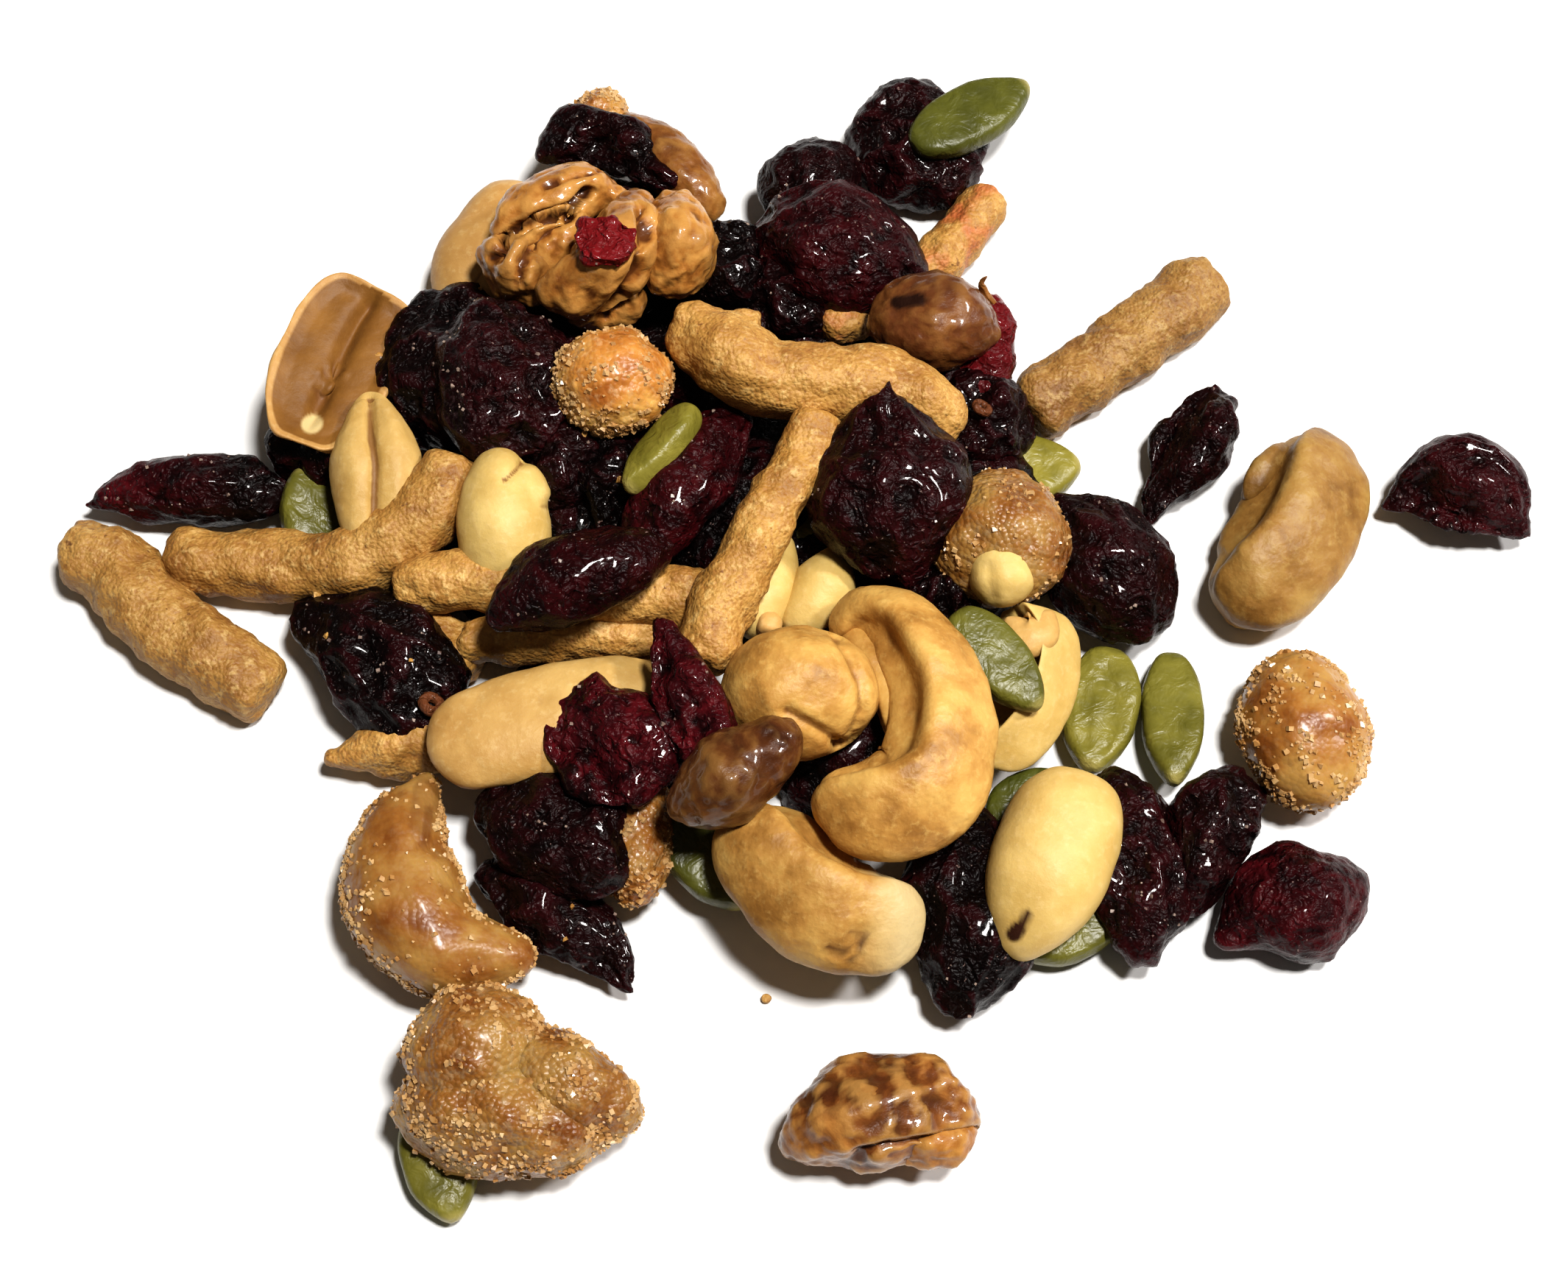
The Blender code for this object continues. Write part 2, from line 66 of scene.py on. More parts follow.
camera_data = bpy.data.cameras.new("camera")
camera_data.lens = 70
camera_data.clip_start = 0.01
camera = bpy.data.objects.new("camera", camera_data)
bpy.context.scene.collection.objects.link(camera)
camera.location = CAMERA_TARGET + CAMERA_DISTANCE * Vector((0, -math.cos(ELEVATION), math.sin(ELEVATION)))
camera.rotation_euler = (math.pi / 2 - ELEVATION, 0, 0)
bpy.context.scene.camera = camera
print("camera stands at", tuple(round(c, 3) for c in camera.location))

# %% Lamps, world and table
def add_lamp(name, place, size, power, colour):
    """A square lamp that points at the middle of the heap."""
    data = bpy.data.lights.new(name, "AREA")
    data.size = size
    data.energy = power
    data.color = colour
    lamp = bpy.data.objects.new(name, data)
    bpy.context.scene.collection.objects.link(lamp)
    lamp.location = place
    lamp.rotation_euler = (-Vector(place)).to_track_quat("-Z", "Y").to_euler()
    return lamp

add_lamp("lamp_above", (0.20, -0.04, 0.88), 0.12, 9.8, (1.0, 0.98, 0.95))
add_lamp("lamp_right", (0.62, 0.14, 0.66), 0.10, 4.6, (1.0, 0.97, 0.95))

world = bpy.data.worlds.new("studio")
world.use_nodes = True
world.node_tree.nodes["Background"].inputs["Color"].default_value = (1.0, 0.94, 0.84, 1.0)
world.node_tree.nodes["Background"].inputs["Strength"].default_value = 0.08
bpy.context.scene.world = world
bpy.context.scene.view_settings.view_transform = "Standard"
bpy.context.scene.view_settings.look = "Medium High Contrast"

bpy.ops.mesh.primitive_plane_add(size=6.0)
table = bpy.context.object
table.name = "table"

# %% [markdown]
# ## Helpers for materials
#
# Every finish here is a Principled shader fed by noise. Adding nodes one by one takes many lines,
# so one helper adds a node and fills its sockets, and a few more name the steps that come back:
# noise at a size in millimetres, a ramp, a mix and a bump.

# %% Node helpers
def node(material, kind, inputs=(), **settings):
    """Adds a node; each input takes a value or another node's socket."""
    tree = material.node_tree
    new = tree.nodes.new(kind)
    for key, value in settings.items():
        setattr(new, key, value)
    for key, value in dict(inputs).items():
        if isinstance(value, bpy.types.NodeSocket):
            tree.links.new(value, new.inputs[key])
        else:
            new.inputs[key].default_value = value
    return new

def new_finish(name, **sockets):
    """A Principled material with these sockets set, and its place in the piece's own space."""
    material = bpy.data.materials.new(name)
    material.use_nodes = True
    shader = material.node_tree.nodes["Principled BSDF"]
    for key, value in sockets.items():
        shader.inputs[key.replace("_", " ").title().replace("Ior", "IOR")].default_value = value
    where = node(material, "ShaderNodeTexCoord").outputs["Object"]
    return material, shader, where

def speckle(material, where, size_mm, detail=3.0, rough=0.55, distortion=0.0):
    """Soft noise whose patches are about this large."""
    made = node(material, "ShaderNodeTexNoise", {
        "Vector": where, "Scale": 1 / (size_mm * MM), "Detail": detail, "Roughness": rough,
        "Distortion": distortion})
    return made.outputs["Fac"]

def grains(material, where, size_mm):
    """Distance to the middle of the nearest grain, for grains about this large."""
    made = node(material, "ShaderNodeTexVoronoi", {"Vector": where, "Scale": 1 / (size_mm * MM)})
    return made.outputs["Distance"]

def ramp(material, share, *stops):
    """Turns a number into a colour or a number, by stops of (place, grey or colour)."""
    made = node(material, "ShaderNodeValToRGB", {"Fac": share})
    elements = made.color_ramp.elements
    while len(elements) < len(stops):
        elements.new(0.5)
    for element, (place, colour) in zip(elements, stops):
        element.position = place
        element.color = (*colour, 1.0) if isinstance(colour, tuple) else (colour,) * 3 + (1.0,)
    return made.outputs["Color"]

def blend_colours(material, share, first, second, how="MIX"):
    """Mixes two colours, or lays the second over the first by multiplying."""
    made = node(material, "ShaderNodeMix", data_type="RGBA", blend_type=how)
    tree = material.node_tree
    for socket, value in ((made.inputs[0], share), (made.inputs[6], first), (made.inputs[7], second)):
        if isinstance(value, bpy.types.NodeSocket):
            tree.links.new(value, socket)
        else:
            socket.default_value = (*value, 1.0) if isinstance(value, tuple) else value
    return made.outputs[2]

def bump(material, height, depth_mm, below=None):
    """Relief this deep; below is a coarser relief that it lies on."""
    inputs = {"Height": height, "Distance": depth_mm * MM, "Strength": 1.0}
    if below is not None:
        inputs["Normal"] = below
    return node(material, "ShaderNodeBump", inputs).outputs["Normal"]

def link(material, socket, target):
    material.node_tree.links.new(socket, target)

def own(material, name):
    """A value that each piece carries with it, such as how red it is."""
    return node(material, "ShaderNodeAttribute", attribute_name=name)

def toned(material, tone, colour, other):
    """Blends towards another colour by a value that the piece carries."""
    return blend_colours(material, own(material, tone).outputs["Fac"], colour, other)

def shade_hollows(material, start, full, most, colour, other):
    """Paints shade into the hollows: blends towards a darker colour where the skin is hollow, by a share from
    0 to most.
    """
    share = ramp(material, own(material, "hollow").outputs["Fac"], (start, 0.0), (full, most))
    return blend_colours(material, share, colour, other)

def shaded(material, colour):
    """Darkens a colour by the shade that its piece carries: partly the piece's own darker colour, partly
    painted shade.
    """
    return toned(material, "shade", colour, (0.0, 0.0, 0.0))

print("helpers ready")

# %% [markdown]
# ## Helpers for modelling
#
# A hand modeller picks an object, opens edit mode, selects faces and moves them. These helpers do
# the same and nothing more. A block is a cube cut into even slices, because its rings can then be
# made thicker or thinner before a Subdivision Surface rounds it.

# %% Picking, selecting and applying
def deselect_all():
    if bpy.context.object and bpy.context.object.mode != "OBJECT":
        bpy.ops.object.mode_set(mode="OBJECT")
    bpy.ops.object.select_all(action="DESELECT")

def pick(obj):
    deselect_all()
    obj.select_set(True)
    bpy.context.view_layer.objects.active = obj

def select_faces(obj, test):
    """Opens edit mode with the faces selected whose middle, in millimetres, passes the test."""
    pick(obj)
    bpy.ops.object.mode_set(mode="EDIT")
    bpy.ops.mesh.select_mode(type="FACE")
    mesh = bmesh.from_edit_mesh(obj.data)
    for face in mesh.faces:
        face.select_set(bool(test(face.calc_center_median() / MM, face.normal)))
    bmesh.update_edit_mesh(obj.data)

def select_points(obj, test):
    """Opens edit mode with the points selected whose place, in millimetres, passes the test."""
    pick(obj)
    bpy.ops.object.mode_set(mode="EDIT")
    bpy.ops.mesh.select_mode(type="VERT")
    mesh = bmesh.from_edit_mesh(obj.data)
    for vert in mesh.verts:
        vert.select_set(bool(test(vert.co / MM)))
    mesh.select_flush(True)
    bmesh.update_edit_mesh(obj.data)

def apply_all(obj):
    """Applies the modifiers in their order."""
    pick(obj)
    for modifier in list(obj.modifiers):
        bpy.ops.object.modifier_apply(modifier=modifier.name)

def soften(obj, levels, kind="CATMULL_CLARK"):
    """Rounds a block with a Subdivision Surface; the kind SIMPLE keeps its corners."""
    modifier = obj.modifiers.new("soften", "SUBSURF")
    modifier.subdivision_type = kind
    modifier.levels = modifier.render_levels = levels
    apply_all(obj)

def block(name, size, cuts):
    """A cube of this size in millimetres, cut into even slices along each axis."""
    deselect_all()
    bpy.ops.mesh.primitive_cube_add(size=1.0)
    obj = bpy.context.object
    obj.name = name
    obj.scale = Vector(size) * MM
    bpy.ops.object.transform_apply(location=False, rotation=False, scale=True)
    bpy.ops.object.mode_set(mode="EDIT")
    for axis in range(3):
        for i in range(cuts[axis]):
            place, way = Vector(), Vector()
            place[axis] = size[axis] * MM * ((i + 1) / (cuts[axis] + 1) - 0.5)
            way[axis] = 1.0
            bpy.ops.mesh.select_all(action="SELECT")
            bpy.ops.mesh.bisect(plane_co=place, plane_no=way)
    bpy.ops.object.mode_set(mode="OBJECT")
    return obj

def resize_ring(obj, x, width, height):
    """Scales the ring of points at this place along the block."""
    select_points(obj, lambda p: abs(p.x - x) < 0.05)
    bpy.ops.transform.resize(value=(1, width, height), center_override=(x * MM, 0, 0))
    bpy.ops.object.mode_set(mode="OBJECT")

def move_points(obj, test, x=0.0, y=0.0, z=0.0):
    """Moves the points that pass the test, by millimetres."""
    select_points(obj, test)
    bpy.ops.transform.translate(value=(x * MM, y * MM, z * MM))
    bpy.ops.object.mode_set(mode="OBJECT")

def read_points(piece):
    """The places and the normals of a piece's points, in metres."""
    count = len(piece.data.vertices)
    places, normals = np.empty(count * 3), np.empty(count * 3)
    piece.data.vertices.foreach_get("co", places)
    piece.data.vertices.foreach_get("normal", normals)
    return places.reshape(-1, 3), normals.reshape(-1, 3)

def keep_tone(piece, tone, values):
    """Keeps one number for each point of a piece, for the materials."""
    layer = piece.data.attributes.get(tone) or piece.data.attributes.new(tone, "FLOAT", "POINT")
    layer.data.foreach_set("value", values)

def mark_form(obj):
    """Keeps each point's place in the unbent shape, from -1 to 1, for the materials."""
    points = read_points(obj)[0]
    low, high = points.min(0), points.max(0)
    form = obj.data.attributes.new("form", "FLOAT_VECTOR", "POINT")
    form.data.foreach_set("vector", (2 * (points - low) / (high - low) - 1).ravel())

print("modelling helpers ready")

# %% [markdown]
# ## Laying a piece
#
# Each piece in the heap follows its own line: a hook for a cashew, a slight bend for a stick. A
# Curve modifier bends a straight copy along such a line, and stretches it to the line's length.
# A place is written as the spot of the table that it covers for the camera, with its height, so
# a list of places reads like a drawing over the picture. A fourth number makes the piece thicker
# or thinner at that place.

# %% Places and lines
EYE = Vector((-1.0, -125.5, 284.0))

def seen(x, y, z):
    """The place at height z that covers the spot (x, y) of the table for the camera, in mm."""
    spot = Vector((x, y, 0.0))
    return spot + (EYE - spot) * (z / EYE.z)

def add_route(places, roll):
    """A smooth curve through the places; roll turns what lies along it, in degrees."""
    data = bpy.data.curves.new("route", "CURVE")
    data.dimensions = "3D"
    data.twist_mode = "Z_UP"
    data.resolution_u = 24
    data.use_stretch = True
    data.use_deform_bounds = True
    spline = data.splines.new("BEZIER")
    spline.bezier_points.add(len(places) - 1)
    for point, place in zip(spline.bezier_points, places):
        point.co = seen(*place[:3]) * MM
        point.radius = place[3] if len(place) > 3 else 1.0
        point.handle_left_type = point.handle_right_type = "AUTO"
        point.tilt = math.radians(roll)
    route = bpy.data.objects.new("route", data)
    bpy.context.scene.collection.objects.link(route)
    return route

FOLD_SPREAD = 3

def lay(shape, name, places, width, thick, roll=0.0, folds=(), **tones):
    """Copies a modelled shape and bends the copy along the line through the places.

    Folds are pressed in while the copy is straight, so that they run along it, and away from the
    middle, so that no two pieces get the same ones. A tone is one number for the whole piece, or
    a pair: its value at the start and at the end.
    """
    deselect_all()
    piece = shape.copy()
    piece.data = shape.data.copy()
    piece.name = name
    bpy.context.scene.collection.objects.link(piece)
    piece.scale = (1.0, width * MM / shape.dimensions.y, thick * MM / shape.dimensions.z)
    pick(piece)
    bpy.ops.object.transform_apply(location=False, rotation=False, scale=True)
    if folds:
        own_spot = seen(*places[0][:3]) * FOLD_SPREAD * MM
        piece.data.transform(Matrix.Translation(own_spot))
        press(piece, *folds)
        piece.data.transform(Matrix.Translation(-own_spot))
    route = add_route(places, roll)
    bend = piece.modifiers.new("bend", "CURVE")
    bend.object = route
    bend.deform_axis = "POS_X"
    apply_all(piece)
    bpy.data.objects.remove(route)
    form = np.empty(len(piece.data.vertices) * 3)
    piece.data.attributes["form"].data.foreach_get("vector", form)
    for key, value in tones.items():
        ends = value if isinstance(value, tuple) else (value, value)
        keep_tone(piece, key, np.interp(form[::3], (-1, 1), ends))
    return piece

print("a spot 10 mm up at the middle of the picture lies at", seen(0, 0, 10))

# %% Relief textures
def relief(name, kind, size_mm, **settings):
    """A texture for the Displace modifier, with features about this large."""
    texture = bpy.data.textures.new(name, kind)
    texture.noise_scale = size_mm * MM
    for key, value in settings.items():
        setattr(texture, key, value)
    return texture

LUMPS_LARGE = relief("lumps_large", "CLOUDS", 6.0, noise_depth=1)
LUMPS = relief("lumps", "CLOUDS", 3.2, noise_depth=2)
LUMPS_SMALL = relief("lumps_small", "CLOUDS", 1.3, noise_depth=2)
FOLDS = relief("folds", "CLOUDS", 5.0, noise_type="HARD_NOISE", noise_depth=1)
WRINKLES = relief("wrinkles", "CLOUDS", 2.0, noise_type="HARD_NOISE", noise_depth=2)
DENTS = relief("dents", "VORONOI", 4.2, weight_1=-1.0, weight_2=1.0)
DENTS_SMALL = relief("dents_small", "VORONOI", 1.9, weight_1=-1.0, weight_2=1.0)
PEBBLES = relief("pebbles", "VORONOI", 1.2, weight_1=1.0)
MIDDLES = {"folds": 0.22, "wrinkles": 0.3, "dents": 0.2, "dents_small": 0.25, "pebbles": 0.4}

HOLLOW_DEPTH = 0.22
HOLLOW_REACH = 5

def mark_hollows(piece):
    """Keeps how hollow the skin is at each point, from 0 on a ridge to 1 in a fold."""
    places, normals = read_points(piece)
    count = len(places)
    ends = np.empty(len(piece.data.edges) * 2, int)
    piece.data.edges.foreach_get("vertices", ends)
    ends = ends.reshape(-1, 2)
    neighbours = np.bincount(ends.ravel(), minlength=count)[:, None]
    mean = places
    for _ in range(HOLLOW_REACH):
        total = np.zeros_like(mean)
        for axis in range(3):
            total[:, axis] = (np.bincount(ends[:, 0], mean[ends[:, 1], axis], count)
                              + np.bincount(ends[:, 1], mean[ends[:, 0], axis], count))
        mean = total / neighbours
    depth = ((mean - places) * normals).sum(1) / MM
    keep_tone(piece, "hollow", np.clip(0.5 + depth / (2 * HOLLOW_DEPTH), 0, 1))

def press(piece, *layers):
    """Presses relief into a piece; each layer is a texture and a depth in millimetres."""
    for texture, depth in layers:
        modifier = piece.modifiers.new("press", "DISPLACE")
        modifier.texture = texture
        modifier.texture_coords = "LOCAL"
        modifier.mid_level = MIDDLES.get(texture.name, 0.5)
        modifier.strength = depth * MM
    apply_all(piece)
    mark_hollows(piece)
    return piece

def reach_of_line(piece, line):
    """How far each point lies beside a line of spots that the piece covers, in millimetres."""
    points = read_points(piece)[0] / MM
    eye = np.array(EYE)
    covered = (eye + (points - eye) * (eye[2] / (eye[2] - points[:, 2:])))[:, :2]
    line = np.array(line, float)
    nearest = np.linalg.norm(covered - line[0], axis=1)
    for start, end in zip(line, line[1:]):
        way = end - start
        along = np.clip((covered - start) @ way / (way @ way), 0, 1)
        nearest = np.minimum(nearest, np.linalg.norm(covered - start - along[:, None] * way, axis=1))
    return nearest

SPOT_EDGE = 0.35

def mark_spot(piece, tone, reach, *line, most=1.0):
    """Gives a piece a tone along a line of spots that it covers; the spot fades over its edge."""
    share = np.clip((reach - reach_of_line(piece, line)) / SPOT_EDGE, 0, 1) * most
    before = np.zeros(len(share))
    if tone in piece.data.attributes:
        piece.data.attributes[tone].data.foreach_get("value", before)
    keep_tone(piece, tone, np.maximum(before, share))

def score(piece, depth, reach, *line):
    """Presses a groove this deep into the upper side of a piece, along a line that it covers."""
    places, normals = read_points(piece)
    facing = ((np.array(EYE) * MM - places) * normals).sum(1) > 0
    share = np.clip(1 - reach_of_line(piece, line) / reach, 0, 1)
    share = share * share * (3 - 2 * share) * facing
    piece.data.vertices.foreach_set("co", (places - normals * share[:, None] * depth * MM).ravel())
    piece.data.update()
    mark_hollows(piece)
    return piece

def rest_on_table(piece):
    """Flattens a piece where it would reach below the table."""
    places = read_points(piece)[0]
    places[:, 2] = np.maximum(places[:, 2], 0.0)
    piece.data.vertices.foreach_set("co", places.ravel())
    piece.data.update()

def finish_piece(pieces, name, finish, slot, *nodes, smooth=True):
    """Joins the pieces of one kind, gives them their finish and ties them to the frame."""
    pick(pieces[0])
    for other in pieces[1:]:
        other.select_set(True)
    if len(pieces) > 1:
        bpy.ops.object.join()
    made = bpy.context.object
    made.name = name
    rest_on_table(made)
    made.data.materials.clear()
    made.data.materials.append(finish)
    if smooth:
        bpy.ops.object.shade_smooth()
    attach(made, "root")
    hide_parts(*nodes)
    triangles = sum(len(face.vertices) - 2 for face in made.data.polygons)
    print(name, triangles, "triangles")
    return made

HEAP = "trail_mix_heap"
print("reliefs", [texture.name for texture in bpy.data.textures])

# %% Round shapes
def model_ball(name, cuts, size):
    """A ball of even squares, fine enough for lobes, folds and pebbles."""
    deselect_all()
    bpy.ops.mesh.primitive_cube_add(size=2.0)
    ball = bpy.context.object
    ball.name = name
    bpy.ops.object.mode_set(mode="EDIT")
    bpy.ops.mesh.select_all(action="SELECT")
    bpy.ops.mesh.subdivide(number_cuts=cuts)
    bpy.ops.object.mode_set(mode="OBJECT")
    rounded = ball.modifiers.new("rounded", "CAST")
    rounded.factor = 1.0
    apply_all(ball)
    ball.scale = Vector(size) * MM
    bpy.ops.object.transform_apply(location=False, rotation=False, scale=True)
    mark_form(ball)
    return ball

nut_shape = model_ball("nut_shape", 27, (10, 6, 5))
print("nut ball", len(nut_shape.data.vertices), "points")

# %% [markdown]
# ## Sesame sticks
#
# A sesame stick is a crisp baked rod of dough with blunt ends, golden brown, with pale sesame in
# it and darker toasted spots. A cylinder would look machine made. We start with a cut block, keep
# its ends broad, round it, and press in lumps of several sizes.

# %% Stick shape
def model_stick():
    """A rod with blunt, slightly narrower ends."""
    stick = block("stick_shape", (30, 7.4, 7.0), (4, 0, 0))
    resize_ring(stick, -15, 0.78, 0.78)
    resize_ring(stick, 15, 0.72, 0.76)
    resize_ring(stick, 3, 1.06, 1.04)
    for side in (1, -1):
        move_points(stick, lambda p: abs(p.x - side * 9) < 0.1, x=side * 4.0)
    soften(stick, 4)
    mark_form(stick)
    return stick

stick_shape = model_stick()
print("stick", [round(side / MM, 1) for side in stick_shape.dimensions], "mm")

# %% Baked crust finish
def crust_finish():
    material, shader, where = new_finish("baked_crust", roughness=0.6)
    patches = speckle(material, where, 4.5, 5.0, 0.65)
    colour = ramp(material, patches, (0.30, (0.24, 0.102, 0.018)), (0.46, (0.38, 0.190, 0.040)),
                  (0.64, (0.50, 0.280, 0.074)))
    sesame = speckle(material, where, 1.0, 3.0, 0.6)
    colour = blend_colours(material, ramp(material, sesame, (0.54, 0.0), (0.70, 0.6)),
                           colour, (0.66, 0.44, 0.17))
    specks = speckle(material, where, 1.6, 3.0)
    colour = blend_colours(material, ramp(material, specks, (0.24, 0.7), (0.36, 0.0)),
                           colour, (0.24, 0.085, 0.018))
    # Painted shade: the crust is darker in its hollows.
    colour = shade_hollows(material, 0.66, 1.0, 0.55, colour, (0.22, 0.085, 0.018))
    red = blend_colours(material, 1.0, ramp(material, speckle(material, where, 4.0, 3.0),
                                            (0.50, 0.0), (0.62, 0.45)),
                        own(material, "stain").outputs["Color"], "MULTIPLY")
    colour = blend_colours(material, red, colour, (0.42, 0.03, 0.02))
    sand = ramp(material, speckle(material, where, 0.5, 4.0, 0.7), (0.36, 0.55), (0.5, 0.0))
    colour = blend_colours(material, sand, colour, (0.27, 0.105, 0.022))
    dots = ramp(material, speckle(material, where, 0.9, 2.0), (0.25, 0.75), (0.31, 0.0))
    colour = blend_colours(material, dots, colour, (0.13, 0.045, 0.012))
    link(material, shaded(material, colour), shader.inputs["Base Color"])
    granules = bump(material, grains(material, where, 0.42), -0.11, bump(material, sesame, 0.24))
    link(material, granules, shader.inputs["Normal"])
    return material

baked_crust = crust_finish()
print("finish", baked_crust.name)

# %% The sticks
STICK_RELIEF = ((LUMPS_LARGE, 1.1), (LUMPS, 1.3), (LUMPS_SMALL, 0.3))
STICKS = [
    ("left_long", [(-64.5, 10.5, 3.6), (-55, 9.3, 3.8), (-46, 9.5, 6), (-40, 13.5, 8.5),
                   (-34.5, 21.5, 10)], 7.2, 7.0, 0, 0.12),
    ("top", [(-12.8, 37.6, 15, 0.6), (-7.8, 34.8, 15, 1.15), (-2.7, 31.4, 14.5, 1.0), (4, 31, 14, 0.95),
             (9.8, 30.2, 13, 0.95), (14.4, 27.8, 12, 0.9), (17.4, 24.8, 11, 0.7)], 8.0, 7.6, 0),
    ("top_knob", [(-12.7, 37.7, 15.5), (-3.4, 36.9, 15.4)], 4.6, 4.6, 0),
    ("upright", [(2.8, 27.0, 14, 1.1), (0.8, 21.3, 14, 1.0), (-3, 14.9, 14, 1.0), (-5.6, 8.4, 13, 1.1),
                 (-8.2, 2.3, 12, 1.15), (-9.4, -2.8, 11, 1.1)], 5.6, 5.6, 0),
    ("across", [(-41.2, 7, 7.5), (-34.5, 7.3, 8.5), (-20, 6.6, 9.5), (-7.6, 5, 9)], 6.2, 6.0, 0),
    ("under", [(-34, 0.8, 6.5), (-23.5, 1.4, 6.5), (-11, 1.5, 6)], 5.2, 5.4, 0),
    ("shadowed", [(-40, 3.3, 4), (-32, -2, 4)], 6.0, 6.0, 0),
    ("pointed", [(-46.8, -12.4, 3.4, 0.25), (-41, -11, 3.6, 1.0), (-31, -9.2, 4, 1.1)], 6.2, 6.4, 0),
    ("reddish", [(21.8, 53.9, 3.6, 1.1), (17, 47.4, 4, 1), (11, 42, 5, 0.9), (3.2, 36.8, 7, 0.9)],
     5.4, 5.4, 1),
    ("behind", [(3.6, 28, 8), (9, 21, 8)], 5.5, 5.5, 0),
]

STICK_PUFF = 1.02

def lay_stick(name, places, width, thick, stain=0, shade=0):
    stick = lay(stick_shape, name, places, width * STICK_PUFF, thick * STICK_PUFF, stain=stain, shade=shade)
    return press(stick, *STICK_RELIEF)

finish_piece([lay_stick(*stick) for stick in STICKS], "sesame_sticks", baked_crust, "sesame_stick", HEAP)
finish_piece([lay_stick("far_left", [(-75.2, 11.2, 3.3), (-70.2, 9.2, 3.3), (-65.8, 3.8, 3.3),
                                     (-59.8, -0.4, 3.3), (-52.8, -5.6, 3.3)], 8.0, 7.6, 0, 0.2)],
             "sesame_stick_far_left", baked_crust, "sesame_stick", "stick_far_left")
finish_piece([lay_stick("upper_right", [(24.4, 26.8, 3.3, 1.1), (28, 29.6, 3.3, 0.95), (34, 34.4, 3.2),
                                        (45.6, 43.6, 3.1)], 7.8, 7.2, 0, 0.3)],
             "sesame_stick_upper_right", baked_crust, "sesame_stick", "stick_upper_right")

# %% [markdown]
# ## Cashews
#
# A cashew is a hooked nut with two thick ends, and a seam along the inner side of its bend where
# the two halves meet. Extruding rings round an arc would work, but the Curve modifier bends a
# straight nut just as well. We push one narrow strip of faces in for the seam.

# %% Cashew shape
def model_cashew():
    """A straight cashew; its inner side is the one towards -Y."""
    nut = block("cashew_shape", (26, 11, 10.6), (5, 0, 0))
    for x, width, height in ((-13, 0.62, 0.66), (-8.7, 1.02, 1.0), (-4.3, 0.98, 1.0),
                             (4.3, 1.0, 1.0), (8.7, 1.04, 1.04), (13, 0.6, 0.66)):
        resize_ring(nut, x, width, height)
    pick(nut)
    bpy.ops.object.mode_set(mode="EDIT")
    for height in (-0.7, 0.7):
        bpy.ops.mesh.select_all(action="SELECT")
        bpy.ops.mesh.bisect(plane_co=(0, 0, height * MM), plane_no=(0, 0, 1))
    select_faces(nut, lambda p, n: n.y < -0.7 and abs(p.z) < 0.6)
    bpy.ops.transform.translate(value=(0, 2.4 * MM, 0))
    bpy.ops.object.mode_set(mode="OBJECT")
    soften(nut, 3)
    mark_form(nut)
    return nut

cashew_shape = model_cashew()
print("cashew", [round(side / MM, 1) for side in cashew_shape.dimensions], "mm")

# %% Roasted cashew finish
def cashew_finish():
    material, shader, where = new_finish("roasted_cashew", roughness=0.46, specular_ior_level=0.32,
                                         subsurface_weight=0.05, subsurface_radius=(0.9, 0.5, 0.2),
                                         subsurface_scale=0.0015)
    patches = speckle(material, where, 6.0, 4.0, 0.6)
    colour = ramp(material, patches, (0.32, (0.27, 0.125, 0.026)), (0.46, (0.43, 0.222, 0.054)),
                  (0.62, (0.56, 0.335, 0.095)))
    fine = speckle(material, where, 1.0, 5.0, 0.65)
    colour = blend_colours(material, ramp(material, fine, (0.52, 0.0), (0.72, 0.45)),
                           colour, (0.66, 0.44, 0.15))
    # Painted shade: the cashew is darker in its hollows and along its inner channel.
    colour = shade_hollows(material, 0.58, 0.95, 0.75, colour, (0.15, 0.058, 0.015))
    pale = ramp(material, own(material, "pale").outputs["Fac"], (0.3, 0.0), (0.8, 0.8))
    colour = blend_colours(material, pale, colour, (0.58, 0.46, 0.24))
    # Painted shade in the cracks of the front cashew.
    colour = toned(material, "burnt", colour, (0.09, 0.040, 0.014))
    link(material, shaded(material, colour), shader.inputs["Base Color"])
    lumps = speckle(material, where, 2.6, 3.0, 0.5)
    link(material, bump(material, fine, 0.10, bump(material, lumps, 0.35)), shader.inputs["Normal"])
    return material

roasted_cashew = cashew_finish()
print("finish", roasted_cashew.name)

# %% The cashews
CASHEW_RELIEF = ((LUMPS_LARGE, 0.9), (LUMPS, 0.4), (LUMPS_SMALL, 0.08))
CASHEWS = [
    ("cashew_hook", [(4.8, 0.8, 10, 0.5), (6.6, 3.2, 11.5, 0.56), (9.8, 3.0, 13, 0.66),
                     (12.6, -0.6, 14, 0.78), (14.4, -5.2, 14, 0.88), (14.4, -10.4, 14, 0.98),
                     (12.6, -14.8, 13.5, 1.06), (8.6, -16.6, 13, 1.06), (2.0, -15.6, 12.5, 0.95)],
     9.4, 9.8, -35, 0),
    ("cashew_hook_flap", [(5.0, 1.8, 10, 0.6), (8.2, -2, 10.8, 1), (9.8, -6.2, 10.8, 1),
                          (10.0, -10.5, 10.4, 0.8)], 3.4, 5.5, 0, 0),
    ("cashew_front", [(12.2, -27.8, 8, 0.88), (7.7, -28.4, 9, 0.98), (3.2, -27.2, 10, 1.04),
                      (-0.6, -23.8, 10.5, 0.98), (-3.0, -20.2, 10.5, 0.92), (-4.4, -17.2, 10.5, 0.85)],
     10.2, 10.2, -30, (1.3, -2.0), 0.14),
]

def lay_cashew(name, places, width, thick, roll=0, pale=0, shade=0):
    return press(lay(cashew_shape, name, places, width, thick, roll, pale=pale, shade=shade), *CASHEW_RELIEF)

